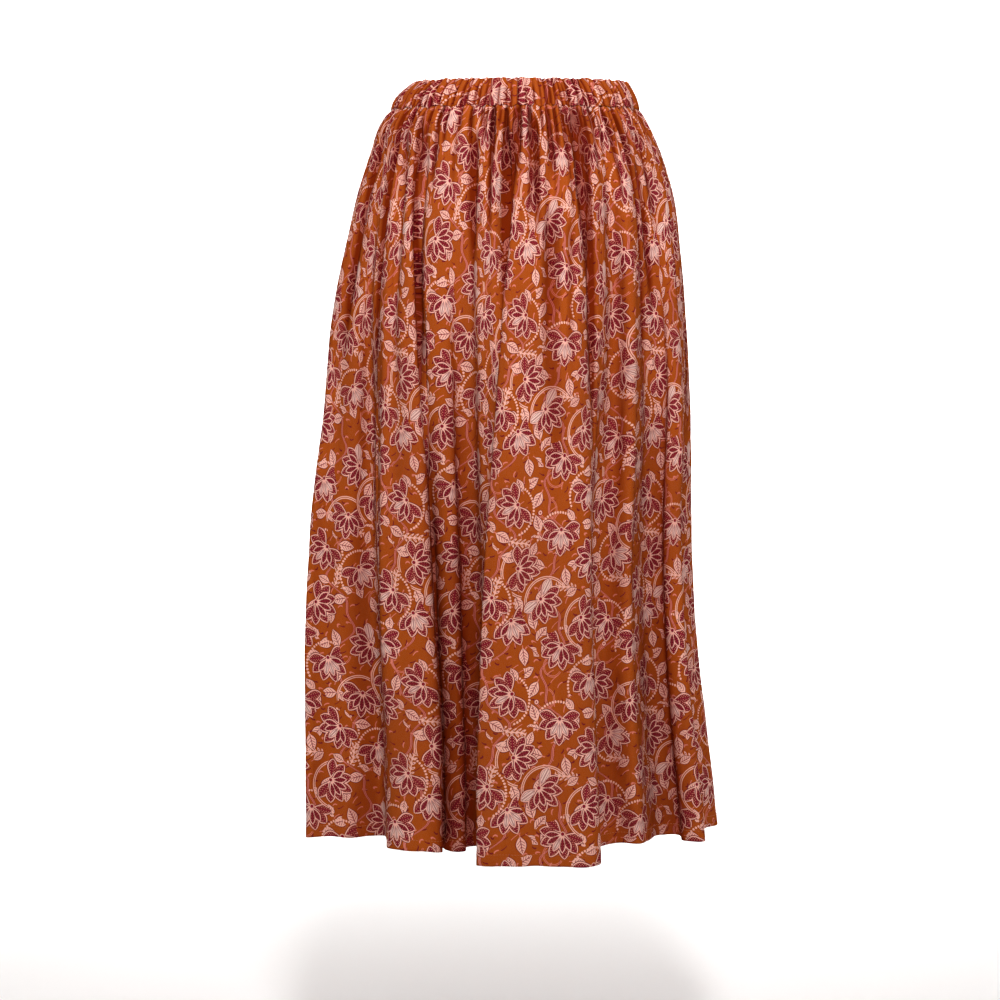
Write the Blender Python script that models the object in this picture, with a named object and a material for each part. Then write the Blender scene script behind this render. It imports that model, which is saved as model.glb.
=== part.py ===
"""A midi skirt, worn: a front and a back panel gathered into an elasticated waistband.

Metres, +Z up. The front faces -Y and +X is the right of the picture. The origin is the middle of
the waistband, on the wearer's own axis. Every wall is worked out from horizontal sections: a
smooth ring that follows the hips near the band, and a folded ring at the hem.
"""

import math
from collections import namedtuple

import bmesh
import bpy
import numpy as np

# Driving dimensions
BAND_HEIGHT = 0.030
BAND_WALL = 0.0030
BAND_EDGE = 0.0032
CLOTH_WALL = 0.0013
SEAM_GAP = 0.0003
HEM_DROP = 0.800
RING_SQUARENESS = 2.15
FOLD_ONSET = 1.1

# Gathers under the band. Their lengths and heights are uneven, spread by two irrational steps
GATHERS_PER_PANEL = 48
GATHER_HEIGHT = 0.0019
GATHER_STEEPEST = 0.24
GATHER_SHORTEST = 0.055
GATHER_LONGEST = 0.120
GATHER_OPENING = 0.015
SEAM_CALM = 0.035
LENGTH_STEP = 0.618034
HEIGHT_STEP = 0.754878

# Soft folds over the hips, and the drops at which they begin, are full, start to fade and end
Wave = namedtuple("Wave", "size times phase")
SOFT_FOLDS_PER_PANEL = 12
SOFT_FOLD_HEIGHT = 0.0062
SOFT_FOLD_DROPS = (0.030, 0.110, 0.170, 0.520)
SOFT_FOLD_WANDER = (Wave(0.018, 3.0, 1.0), Wave(0.009, 7.0, 0.0))
SOFT_FOLD_SWELL = Wave(0.32, 4.3, 0.6)

# Puckers of the waistband, which lies calmer at the centre front
PUCKERS = 60
PUCKER_HEIGHT = 0.0011
PUCKER_SWELL = Wave(0.25, 11.0, 0.4)
FRONT_CALM = 0.25
FRONT_CALM_END = 0.03
FRONT_FULL_START = 0.09

# Mesh rows, as drops below the origin. The upper rows carry the gathers, so they have twice the columns.
SKIRT_TOP = BAND_HEIGHT / 2 + SEAM_GAP
COLUMNS_PER_GATHER = 4
COLUMNS_PER_PANEL = GATHERS_PER_PANEL * COLUMNS_PER_GATHER
COLUMNS_PER_PUCKER = 2
GATHERED_ROWS = (SKIRT_TOP, 0.026, 0.042, 0.064, 0.092, 0.125)
HANGING_ROWS = (0.190, 0.275, 0.380, 0.500, 0.640, HEM_DROP)
BAND_ROWS = (-BAND_HEIGHT / 2, BAND_EDGE - BAND_HEIGHT / 2, BAND_HEIGHT / 2 - BAND_EDGE, BAND_HEIGHT / 2)
TURN_STEPS = 6
TURN_LIMIT = 0.48
BEARING_NODES = 193
BEARING_SMOOTHING = 40

# How far the skirt reaches to each side of the origin at each drop
Section = namedtuple("Section", "drop left right front back")
SECTIONS = (
    Section(-0.015, 0.1095, 0.1175, 0.084, 0.084),
    Section(0.000, 0.1268, 0.1248, 0.092, 0.092),
    Section(0.015, 0.1355, 0.1308, 0.099, 0.100),
    Section(0.032, 0.1465, 0.1400, 0.107, 0.110),
    Section(0.056, 0.1540, 0.1515, 0.114, 0.120),
    Section(0.099, 0.1665, 0.1655, 0.124, 0.136),
    Section(0.164, 0.1815, 0.1755, 0.134, 0.150),
    Section(0.250, 0.1970, 0.1835, 0.143, 0.160),
    Section(0.3365, 0.2055, 0.1875, 0.149, 0.166),
    Section(0.466, 0.2215, 0.1885, 0.157, 0.174),
    Section(0.596, 0.2279, 0.1945, 0.164, 0.182),
    Section(0.682, 0.2268, 0.2041, 0.168, 0.187),
    Section(0.768, 0.2279, 0.2149, 0.172, 0.192),
    Section(0.820, 0.2279, 0.2190, 0.175, 0.195),
)

# The turns of the big folds at the hem, in order round the skirt: the bearing at which each leaves
# the waistband (0 is the front, 90 the right), where it lies at the hem, how widely it turns, and
# how far the hem is lifted there
Turn = namedtuple("Turn", "name bearing across back turn lift")
FRONT_TURNS = (
    Turn("left_side", -90, -0.226, 0.022, 0.020, 0.0),
    Turn("left_edge", -82, -0.2315, -0.020, 0.012, 0.0),
    Turn("left_dip", -76, -0.208, -0.006, 0.014, 0.0),
    Turn("left_panel", -70, -0.184, -0.020, 0.020, 0.0),
    Turn("second_recess", -61, -0.143, -0.002, 0.020, 0.0),
    Turn("second_fold_left", -52, -0.1385, -0.080, 0.018, 0.0),
    Turn("second_fold_middle", -46, -0.106, -0.096, 0.024, 0.0),
    Turn("second_fold_right", -40, -0.0765, -0.092, 0.012, 0.0),
    Turn("under_second_fold", -34, -0.090, -0.050, 0.016, -0.004),
    Turn("small_fold_left", -29, -0.069, -0.070, 0.009, -0.010),
    Turn("small_fold_right", -25, -0.055, -0.068, 0.009, -0.010),
    Turn("deep_recess_left", -21, -0.057, -0.046, 0.009, -0.002),
    Turn("deep_recess_right", -17, -0.038, -0.046, 0.011, 0.0),
    Turn("under_main_fold", -9, -0.016, -0.104, 0.020, -0.010),
    Turn("main_fold_left", -2, -0.0512, -0.144, 0.018, -0.006),
    Turn("main_fold_middle", 10, 0.020, -0.160, 0.050, -0.004),
    Turn("main_fold_right", 23, 0.0905, -0.149, 0.020, -0.006),
    Turn("under_right_fold", 31, 0.081, -0.084, 0.018, 0.002),
    Turn("right_recess", 36, 0.102, -0.066, 0.018, 0.004),
    Turn("right_swell", 42, 0.132, -0.080, 0.024, 0.003),
    Turn("right_valley_start", 51, 0.152, -0.018, 0.018, 0.004),
    Turn("right_valley_end", 56, 0.179, -0.012, 0.010, 0.004),
    Turn("third_fold_left", 62, 0.177, -0.040, 0.010, 0.0),
    Turn("third_fold_right", 69, 0.2035, -0.044, 0.010, 0.0),
    Turn("third_fold_back", 76, 0.199, 0.022, 0.012, 0.0),
    Turn("right_flare", 85, 0.2255, 0.058, 0.010, 0.0),
    Turn("right_side", 91, 0.218, 0.084, 0.014, 0.0),
)
BACK_TURNS = (
    Turn("right_side_back", 99, 0.205, 0.116, 0.024, 0.0),
    Turn("first_back_recess", 108, 0.170, 0.088, 0.024, 0.0),
    Turn("first_back_fold_start", 116, 0.160, 0.152, 0.024, 0.0),
    Turn("first_back_fold_middle", 123, 0.130, 0.178, 0.034, 0.0),
    Turn("first_back_fold_end", 130, 0.098, 0.180, 0.020, 0.0),
    Turn("second_back_recess_start", 138, 0.104, 0.108, 0.024, -0.004),
    Turn("second_back_recess_end", 143, 0.074, 0.099, 0.024, -0.004),
    Turn("second_back_fold_start", 151, 0.062, 0.180, 0.024, 0.0),
    Turn("second_back_fold_end", 160, 0.006, 0.197, 0.024, 0.0),
    Turn("middle_back_recess_start", 169, 0.014, 0.110, 0.024, -0.005),
    Turn("middle_back_recess_end", 175, -0.020, 0.102, 0.024, -0.005),
    Turn("third_back_fold_start", 184, -0.026, 0.184, 0.024, 0.0),
    Turn("third_back_fold_middle", 191, -0.056, 0.198, 0.032, 0.0),
    Turn("third_back_fold_end", 198, -0.090, 0.183, 0.024, 0.0),
    Turn("fourth_back_recess_start", 207, -0.080, 0.104, 0.024, -0.003),
    Turn("fourth_back_recess_end", 212, -0.106, 0.091, 0.024, -0.003),
    Turn("fourth_back_fold_start", 220, -0.118, 0.158, 0.024, 0.0),
    Turn("fourth_back_fold_middle", 227, -0.150, 0.166, 0.030, 0.0),
    Turn("fourth_back_fold_end", 235, -0.184, 0.130, 0.024, 0.0),
    Turn("left_back_recess", 243, -0.170, 0.076, 0.024, -0.002),
    Turn("left_back_swell", 250, -0.198, 0.066, 0.024, 0.0),
    Turn("left_side_back", 259, -0.221, 0.070, 0.020, 0.0),
)

# Colours, each with its roughness
ORANGE_CLOTH = (0.43, 0.105, 0.018)
BAND_CLOTH = (0.46, 0.12, 0.024)
CLOTH_ROUGHNESS = 0.82


def clear_scene():
    for thing in list(bpy.data.objects):
        bpy.data.objects.remove(thing, do_unlink=True)


def smooth_step(value, start, end):
    """0 at start, 1 at end, with no corner at either."""
    share = np.clip((value - start) / (end - start), 0.0, 1.0)
    return share * share * (3.0 - 2.0 * share)


def smooth_between(where, stations, values):
    """A smooth curve through the values at the stations, read at each place."""
    slopes = np.gradient(values, stations)
    step = np.clip(np.searchsorted(stations, where) - 1, 0, len(stations) - 2)
    length = stations[step + 1] - stations[step]
    share = (where - stations[step]) / length
    rest = 1.0 - share
    ends = values[step] * (1 + 2 * share) * rest**2 + values[step + 1] * (3 - 2 * share) * share**2
    tangents = slopes[step] * share * rest**2 - slopes[step + 1] * share**2 * rest
    return ends + tangents * length


def reach(side, drop):
    """How far the skirt reaches to one side at this drop."""
    stations = np.array([section.drop for section in SECTIONS])
    values = np.array([getattr(section, side) for section in SECTIONS])
    return smooth_between(np.asarray(drop, float), stations, values)


def ring(drop, bearing):
    """A point of the smooth ring at this drop, at a bearing in radians."""
    across = np.sin(bearing)
    ahead = np.cos(bearing)
    power = RING_SQUARENESS
    size = (np.abs(across) ** power + np.abs(ahead) ** power) ** (-1.0 / power)
    half_width = np.where(across > 0, reach("right", drop), reach("left", drop))
    half_depth = np.where(ahead > 0, reach("front", drop), reach("back", drop))
    return half_width * across * size, -half_depth * ahead * size


def rounded_turn(before, corner, after, widest):
    """The points of one fold's turn, from one straight stretch to the next."""
    to_before = before - corner
    to_after = after - corner
    cut = min(widest, TURN_LIMIT * np.linalg.norm(to_before), TURN_LIMIT * np.linalg.norm(to_after))
    start = corner + to_before / np.linalg.norm(to_before) * cut
    end = corner + to_after / np.linalg.norm(to_after) * cut
    shares = np.linspace(0.0, 1.0, TURN_STEPS + 1)[:, None]
    return (1 - shares) ** 2 * start + 2 * shares * (1 - shares) * corner + shares**2 * end


class Panel:
    """One panel's cloth: where each place along its hem lies, and the bearing it hangs from."""

    def __init__(self, turns, turn_before, turn_after):
        corners = [np.array((t.across, t.back)) for t in (turn_before, *turns, turn_after)]
        path = [((corners[0] + corners[1]) / 2)[None, :]]
        middles = []
        for before, corner, after, turn in zip(corners, corners[1:], corners[2:], turns):
            middles.append(sum(len(piece) for piece in path) + TURN_STEPS // 2)
            path.append(rounded_turn(before, corner, after, turn.turn))
        path.append(((corners[-1] + corners[-2]) / 2)[None, :])
        self.path = np.concatenate(path)
        steps = np.linalg.norm(np.diff(self.path, axis=0), axis=1)
        along = np.concatenate([[0.0], np.cumsum(steps)])
        self.width = along[-1]
        self.shares = along / self.width

        # The bearings and the lifts, with those of the side seams half-way to the next panel's
        ends = [turn_before, *turns, turn_after]
        bearings = np.unwrap(np.radians([turn.bearing for turn in ends]))
        lifts = np.array([turn.lift for turn in ends])
        for values in (bearings, lifts):
            values[0] = (values[0] + values[1]) / 2
            values[-1] = (values[-1] + values[-2]) / 2
        places = np.concatenate([[0.0], self.shares[middles], [1.0]])
        self.nodes = np.linspace(0.0, 1.0, BEARING_NODES)
        self.bearings = np.interp(self.nodes, places, bearings)
        self.lifts = np.interp(self.nodes, places, lifts)
        for _ in range(BEARING_SMOOTHING):
            for values in (self.bearings, self.lifts):
                values[1:-1] = (values[:-2] + 2 * values[1:-1] + values[2:]) / 4

    def hem(self, share):
        """The folded ring at the hem."""
        return tuple(np.interp(share, self.shares, self.path[:, axis]) for axis in (0, 1))

    def bearing(self, share):
        return np.interp(share, self.nodes, self.bearings)

    def lift(self, share):
        return np.interp(share, self.nodes, self.lifts)


def narrowing(side, drop):
    """The reach to one side at this drop, as a share of the hem's."""
    return reach(side, drop) / reach(side, HEM_DROP)


def directions(row):
    """The way along a row of points, the way out of it, and its steps' length."""
    steps = np.gradient(row, axis=1)
    length = np.hypot(*steps)
    along = steps / length
    return along, np.stack([along[1], -along[0]]), length


def fall(drop):
    """0 at the waistband seam and 1 at the hem."""
    return (drop - SKIRT_TOP) / (HEM_DROP - SKIRT_TOP)


def fold_share(drop):
    """How much of the hem's folds shows at this drop."""
    return np.sin(math.pi / 2 * np.clip(fall(drop), 0.0, 1.0)) ** FOLD_ONSET


def sway(wave, share):
    return wave.size * np.sin(2 * math.pi * wave.times * share + wave.phase)


def gather_height(share, drop, spacing):
    """The small gathers: tightest under the band, each one fading out at its own drop."""
    number = np.round(share * GATHERS_PER_PANEL)
    length = GATHER_SHORTEST + (GATHER_LONGEST - GATHER_SHORTEST) * np.mod(number * LENGTH_STEP, 1.0)
    uneven = 0.8 + 0.3 * np.mod(number * HEIGHT_STEP, 1.0)
    size = np.minimum(GATHER_HEIGHT, GATHER_STEEPEST * spacing) * uneven
    opening = 0.65 + 0.35 * smooth_step(drop, SKIRT_TOP, SKIRT_TOP + GATHER_OPENING)
    fading = 1.0 - smooth_step(drop, SKIRT_TOP + 0.25 * length, SKIRT_TOP + length)
    return size * opening * fading * np.cos(2 * math.pi * GATHERS_PER_PANEL * share)


def soft_fold_height(share, drop):
    """The soft folds that the gathers fall into over the hips, of uneven width and height."""
    begin, full, fade, end = SOFT_FOLD_DROPS
    uneven = share + sum(sway(wave, share) for wave in SOFT_FOLD_WANDER)
    size = SOFT_FOLD_HEIGHT * (1 - SOFT_FOLD_SWELL.size + sway(SOFT_FOLD_SWELL, share))
    growing = smooth_step(drop, begin, full)
    fading = 1.0 - smooth_step(drop, fade, end)
    return size * growing * fading * np.cos(2 * math.pi * SOFT_FOLDS_PER_PANEL * uneven)


def panel_row(panel, drop, count):
    """Outer and inner points of one row of a panel, count + 1 of them from seam to seam."""
    share = np.linspace(0.0, 1.0, count + 1)
    folds = fold_share(drop)
    ring_x, ring_y = ring(drop, panel.bearing(share))
    hem_x, hem_y = panel.hem(share)
    width = np.where(hem_x > 0, narrowing("right", drop), narrowing("left", drop))
    depth = np.where(hem_y < 0, narrowing("front", drop), narrowing("back", drop))
    middle = np.stack([
        (1 - folds) * ring_x + folds * hem_x * width,
        (1 - folds) * ring_y + folds * hem_y * depth,
    ])

    along, out, step = directions(middle)
    calm = smooth_step(np.minimum(share, 1 - share), 0.2 * SEAM_CALM, SEAM_CALM)
    spacing = step * count / GATHERS_PER_PANEL
    height = gather_height(share, drop, spacing) + soft_fold_height(share, drop)
    middle = middle + out * calm * height
    middle[:, 0] += along[:, 0] * SEAM_GAP / 2
    middle[:, -1] -= along[:, -1] * SEAM_GAP / 2

    _, out, _ = directions(middle)
    z = -drop + panel.lift(share) * fall(drop) ** 2
    outer, inner = (middle + side * out * CLOTH_WALL / 2 for side in (1, -1))
    return np.column_stack([*outer, z]), np.column_stack([*inner, z])


def band_row(drop):
    """Outer and inner points of one row of the waistband, all round."""
    count = COLUMNS_PER_PUCKER * PUCKERS
    share = np.arange(count) / count
    middle = np.stack(ring(drop, 2 * math.pi * share))
    from_front = np.minimum(share, 1 - share)
    calm = FRONT_CALM + (1 - FRONT_CALM) * smooth_step(from_front, FRONT_CALM_END, FRONT_FULL_START)
    size = PUCKER_HEIGHT * calm * (1 - PUCKER_SWELL.size + sway(PUCKER_SWELL, share))
    height = size * np.cos(2 * math.pi * PUCKERS * share)
    out = middle / np.hypot(*middle)
    outer = middle + out * (BAND_WALL / 2 + height)
    inner = middle - out * BAND_WALL / 2
    z = np.full(count, -drop)
    return np.column_stack([*outer, z]), np.column_stack([*inner, z])


def add_strip(mesh, upper, lower, closed):
    """Faces between two rows of vertices. A lower row may have half as many steps as the upper."""
    steps = len(lower) - (0 if closed else 1)
    double = len(upper) > len(lower)
    for i in range(steps):
        low, low_next = lower[i], lower[(i + 1) % len(lower)]
        if not double:
            mesh.faces.new((upper[i], low, low_next, upper[(i + 1) % len(upper)]))
            continue
        first, middle, last = (upper[(2 * i + k) % len(upper)] for k in range(3))
        mesh.faces.new((first, low, middle))
        mesh.faces.new((low, low_next, middle))
        mesh.faces.new((middle, low_next, last))


def wall_object(name, rows, closed, material, collection):
    """One closed cloth wall from its rows of outer and inner points, listed from the top down."""
    mesh = bmesh.new()
    outer = [[mesh.verts.new(point) for point in out] for out, _ in rows]
    inner = [[mesh.verts.new(point) for point in into] for _, into in rows]
    for upper, lower in zip(outer, outer[1:]):
        add_strip(mesh, upper, lower, closed)
    for upper, lower in zip(inner, inner[1:]):
        add_strip(mesh, upper, lower, closed)
    add_strip(mesh, inner[0], outer[0], closed)
    add_strip(mesh, outer[-1], inner[-1], closed)
    if not closed:
        for end in (0, -1):
            for row in range(len(rows) - 1):
                corners = (outer[row][end], inner[row][end], inner[row + 1][end], outer[row + 1][end])
                mesh.faces.new(corners)
    bmesh.ops.recalc_face_normals(mesh, faces=mesh.faces)
    data = bpy.data.meshes.new(name)
    mesh.to_mesh(data)
    mesh.free()
    data.shade_smooth()
    data.set_sharp_from_angle(angle=math.radians(60))
    data.materials.append(material)
    piece = bpy.data.objects.new(name, data)
    collection.objects.link(piece)
    return piece


def cloth_material(name, colour):
    material = bpy.data.materials.new(name)
    material.use_nodes = True
    shader = material.node_tree.nodes["Principled BSDF"]
    shader.inputs["Base Color"].default_value = (*colour, 1.0)
    shader.inputs["Roughness"].default_value = CLOTH_ROUGHNESS
    shader.inputs["Metallic"].default_value = 0.0
    return material


def build_panel(name, panel, collection):
    rows = [panel_row(panel, drop, COLUMNS_PER_PANEL) for drop in GATHERED_ROWS]
    rows += [panel_row(panel, drop, COLUMNS_PER_PANEL // 2) for drop in HANGING_ROWS]
    return wall_object(name, rows, False, cloth_material(name, ORANGE_CLOTH), collection)


def build_waistband(collection):
    rows = [band_row(drop) for drop in BAND_ROWS]
    return wall_object("waistband", rows, True, cloth_material("waistband", BAND_CLOTH), collection)


def main():
    clear_scene()
    collection = bpy.data.collections.new("midi_skirt")
    bpy.context.scene.collection.children.link(collection)
    build_waistband(collection)
    build_panel("skirt_front", Panel(FRONT_TURNS, BACK_TURNS[-1], BACK_TURNS[0]), collection)
    build_panel("skirt_back", Panel(BACK_TURNS, FRONT_TURNS[-1], FRONT_TURNS[0]), collection)


main()
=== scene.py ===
"""The looks of a printed midi skirt, worn: gathered panels, a puckered waistband and the sewing.

Metres, +Z up. The front faces -Y and +X is the right of the picture. The cloth follows the same
sections and folds as its solids, and adds the gathers, creases, thickness and print.
"""

import math
from collections import namedtuple

import bpy
import numpy as np
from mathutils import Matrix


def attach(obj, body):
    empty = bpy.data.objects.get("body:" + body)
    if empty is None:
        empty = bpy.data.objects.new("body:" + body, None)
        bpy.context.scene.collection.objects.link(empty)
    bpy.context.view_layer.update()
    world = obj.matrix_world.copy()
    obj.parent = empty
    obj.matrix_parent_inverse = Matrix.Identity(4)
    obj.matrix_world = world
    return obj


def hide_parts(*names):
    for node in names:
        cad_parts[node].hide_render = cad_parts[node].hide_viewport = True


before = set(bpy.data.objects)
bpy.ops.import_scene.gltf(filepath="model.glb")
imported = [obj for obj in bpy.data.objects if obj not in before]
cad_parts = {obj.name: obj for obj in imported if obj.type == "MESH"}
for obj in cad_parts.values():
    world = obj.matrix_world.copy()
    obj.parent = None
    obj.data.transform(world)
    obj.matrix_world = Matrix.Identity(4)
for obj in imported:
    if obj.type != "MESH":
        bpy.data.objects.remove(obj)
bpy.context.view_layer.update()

# Sizes shared with the solids
BAND_HEIGHT = 0.030
SEAM_GAP = 0.0003
HEM_DROP = 0.800
RING_SQUARENESS = 2.15
FOLD_ONSET = 1.1
SKIRT_TOP = BAND_HEIGHT / 2 + SEAM_GAP
TURN_STEPS = 8
TURN_LIMIT = 0.48
BEARING_NODES = 193
BEARING_SMOOTHING = 40

Section = namedtuple("Section", "drop left right front back")
SECTIONS = (
    Section(-0.015, 0.1095, 0.1175, 0.084, 0.084),
    Section(0.000, 0.1268, 0.1248, 0.092, 0.092),
    Section(0.015, 0.1355, 0.1308, 0.099, 0.100),
    Section(0.032, 0.1465, 0.1400, 0.107, 0.110),
    Section(0.056, 0.1540, 0.1515, 0.114, 0.120),
    Section(0.099, 0.1665, 0.1655, 0.124, 0.136),
    Section(0.164, 0.1815, 0.1755, 0.134, 0.150),
    Section(0.250, 0.1970, 0.1835, 0.143, 0.160),
    Section(0.3365, 0.2055, 0.1875, 0.149, 0.166),
    Section(0.466, 0.2215, 0.1885, 0.157, 0.174),
    Section(0.596, 0.2279, 0.1945, 0.164, 0.182),
    Section(0.682, 0.2268, 0.2041, 0.168, 0.187),
    Section(0.768, 0.2279, 0.2149, 0.172, 0.192),
    Section(0.820, 0.2279, 0.2190, 0.175, 0.195),
)

Turn = namedtuple("Turn", "name bearing across back turn lift")
FRONT_TURNS = (
    Turn("left_side", -90, -0.226, 0.022, 0.020, 0.0),
    Turn("left_edge", -82, -0.2315, -0.020, 0.012, 0.0),
    Turn("left_dip", -76, -0.208, -0.006, 0.014, 0.0),
    Turn("left_panel", -70, -0.184, -0.020, 0.020, 0.0),
    Turn("second_recess", -61, -0.143, -0.002, 0.020, 0.0),
    Turn("second_fold_left", -52, -0.1385, -0.080, 0.018, 0.0),
    Turn("second_fold_middle", -46, -0.106, -0.096, 0.024, 0.0),
    Turn("second_fold_right", -40, -0.0765, -0.092, 0.012, 0.0),
    Turn("under_second_fold", -34, -0.090, -0.050, 0.016, -0.004),
    Turn("small_fold_left", -29, -0.069, -0.070, 0.009, -0.010),
    Turn("small_fold_right", -25, -0.055, -0.068, 0.009, -0.010),
    Turn("deep_recess_left", -21, -0.057, -0.046, 0.009, -0.002),
    Turn("deep_recess_right", -17, -0.038, -0.046, 0.011, 0.0),
    Turn("under_main_fold", -9, -0.016, -0.104, 0.020, -0.010),
    Turn("main_fold_left", -2, -0.0512, -0.144, 0.018, -0.006),
    Turn("main_fold_middle", 10, 0.020, -0.160, 0.050, -0.004),
    Turn("main_fold_right", 23, 0.0905, -0.149, 0.020, -0.006),
    Turn("under_right_fold", 31, 0.081, -0.084, 0.018, 0.002),
    Turn("right_recess", 36, 0.102, -0.066, 0.018, 0.004),
    Turn("right_swell", 42, 0.132, -0.080, 0.024, 0.003),
    Turn("right_valley_start", 51, 0.152, -0.018, 0.018, 0.004),
    Turn("right_valley_end", 56, 0.179, -0.012, 0.010, 0.004),
    Turn("third_fold_left", 62, 0.177, -0.040, 0.010, 0.0),
    Turn("third_fold_right", 69, 0.2035, -0.044, 0.010, 0.0),
    Turn("third_fold_back", 76, 0.199, 0.022, 0.012, 0.0),
    Turn("right_flare", 85, 0.2255, 0.058, 0.010, 0.0),
    Turn("right_side", 91, 0.218, 0.084, 0.014, 0.0),
)
BACK_TURNS = (
    Turn("right_side_back", 99, 0.205, 0.116, 0.024, 0.0),
    Turn("first_back_recess", 108, 0.170, 0.088, 0.024, 0.0),
    Turn("first_back_fold_start", 116, 0.160, 0.152, 0.024, 0.0),
    Turn("first_back_fold_middle", 123, 0.130, 0.178, 0.034, 0.0),
    Turn("first_back_fold_end", 130, 0.098, 0.180, 0.020, 0.0),
    Turn("second_back_recess_start", 138, 0.104, 0.108, 0.024, -0.004),
    Turn("second_back_recess_end", 143, 0.074, 0.099, 0.024, -0.004),
    Turn("second_back_fold_start", 151, 0.062, 0.180, 0.024, 0.0),
    Turn("second_back_fold_end", 160, 0.006, 0.197, 0.024, 0.0),
    Turn("middle_back_recess_start", 169, 0.014, 0.110, 0.024, -0.005),
    Turn("middle_back_recess_end", 175, -0.020, 0.102, 0.024, -0.005),
    Turn("third_back_fold_start", 184, -0.026, 0.184, 0.024, 0.0),
    Turn("third_back_fold_middle", 191, -0.056, 0.198, 0.032, 0.0),
    Turn("third_back_fold_end", 198, -0.090, 0.183, 0.024, 0.0),
    Turn("fourth_back_recess_start", 207, -0.080, 0.104, 0.024, -0.003),
    Turn("fourth_back_recess_end", 212, -0.106, 0.091, 0.024, -0.003),
    Turn("fourth_back_fold_start", 220, -0.118, 0.158, 0.024, 0.0),
    Turn("fourth_back_fold_middle", 227, -0.150, 0.166, 0.030, 0.0),
    Turn("fourth_back_fold_end", 235, -0.184, 0.130, 0.024, 0.0),
    Turn("left_back_recess", 243, -0.170, 0.076, 0.024, -0.002),
    Turn("left_back_swell", 250, -0.198, 0.066, 0.024, 0.0),
    Turn("left_side_back", 259, -0.221, 0.070, 0.020, 0.0),
)

# The cloth as it is seen
CLOTH = 0.000496
SINGLE_TO_DOUBLE = 0.45
HEM_TURN = 0.014
HEM_ROWS = (0.85, 0.5, 0.2, 0.0)
UPPER_COLUMNS = 640
LOWER_COLUMNS = 320
LAST_UPPER_ROW = 0.165
UPPER_ROWS = 39
ROW_CROWDING = 1.35
LOWER_ROWS = 66
CUT_TOP = 0.90
CUT_HEM = 1.05

# At the waist seam the cloth is tucked up and in behind the band, its gathers are pressed flatter,
# and just below they puff out
SEAM_TUCK = 0.0016
TUCK_IN = 0.0009
TUCK_REACH = 0.003
SEAM_PRESS = 0.25
SEAM_PRESS_REACH = 0.006
GATHER_PUFF = 0.0016
PUFF_REACH = 0.007
PUFF_FADE = (0.03, 0.09)

# The side seams: a shallow groove, with the cloth calmer beside it
SIDE_SEAM_DEPTH = 0.0011
SIDE_SEAM_WIDTH = 0.0016
CALM_FOR_CREASES = 0.012
CALM_FOR_FOLDS = (0.006, 0.035)

# The gathers: narrow valleys between broad soft crests, each ending at its own height
Gathers = namedtuple("Gathers", "count shallowest deepest narrowest widest shortest longest")
GATHERS = (
    Gathers(54, 0.0026, 0.0064, 0.0011, 0.0018, 0.028, 0.085),
    Gathers(25, 0.0026, 0.0062, 0.0018, 0.0028, 0.095, 0.250),
)
GATHER_LEAN = 0.012
GATHER_FADE = 0.35
SPACING_UNEVENNESS = 0.9
MORE_SHORT_ONES = 1.6

# Soft folds over the hips
Wave = namedtuple("Wave", "size times phase")
SOFT_FOLDS_PER_PANEL = 12
SOFT_FOLD_HEIGHT = 0.0060
SOFT_FOLD_DROPS = (0.030, 0.110, 0.170, 0.520)
SOFT_FOLD_WANDER = (Wave(0.018, 3.0, 1.0), Wave(0.009, 7.0, 0.0))
SOFT_FOLD_SWELL = Wave(0.32, 4.3, 0.6)
SOFT_FOLD_SHARPNESS = 0.22

# Slow unevenness of hanging cloth: each wave's share of the depth, how often it comes across the
# panel, how much it turns with the drop, and its shift. The last one comes and goes down the cloth.
Rumple = namedtuple("Rumple", "size across down shift")
RUMPLES = (Rumple(0.5, 9, 24.6, 1.0), Rumple(0.35, 14, -9.0, 2.2), Rumple(0.25, 31, 21.0, 3.1))
RUMPLE_BREAKS = 66.0
RUMPLE_DEPTH = 0.0011
RUMPLE_DROPS = (0.05, 0.25)

# Machine stitches along the hem
STITCH_PITCH = 0.0032
STITCH_LENGTH = 0.0025
STITCH_RADIUS = 0.00022
STITCH_SINK = 0.00018
STITCH_STAND = 0.00066
STITCH_SIDES = 6
STITCH_RINGS = ((-0.72, 0.75), (0.0, 1.0), (0.72, 0.75))

# How folds shut in the cloth beside them, which sets the painted shade in the recesses: places looked
# from along a row, how far, and which ways
FOLD_SAMPLES = 160
FOLD_REACH = 0.14
FOLD_CLEAR = 0.003
FOLD_LOOKS = range(-75, 76, 15)
PARALLEL = 1e-12
SHUT_AT_TOP = 0.25
SHUT_DROPS = (0.03, 0.16)

# The gathers pull the waistband's seam up and down a little
SEAM_WAVER = (Wave(0.0007, 23.0, 0.2), Wave(0.0007, 38.0, 1.4), Wave(0.0006, 61.0, 2.6))
SEAM_WAVER_REACH = 0.012

# The stitched hem never hangs quite level
HEM_RIPPLE = (Wave(0.0007, 5.3, 0.4), Wave(0.0005, 12.7, 2.0), Wave(0.0003, 31.0, 1.1))
RIPPLE_START = 0.74
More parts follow.
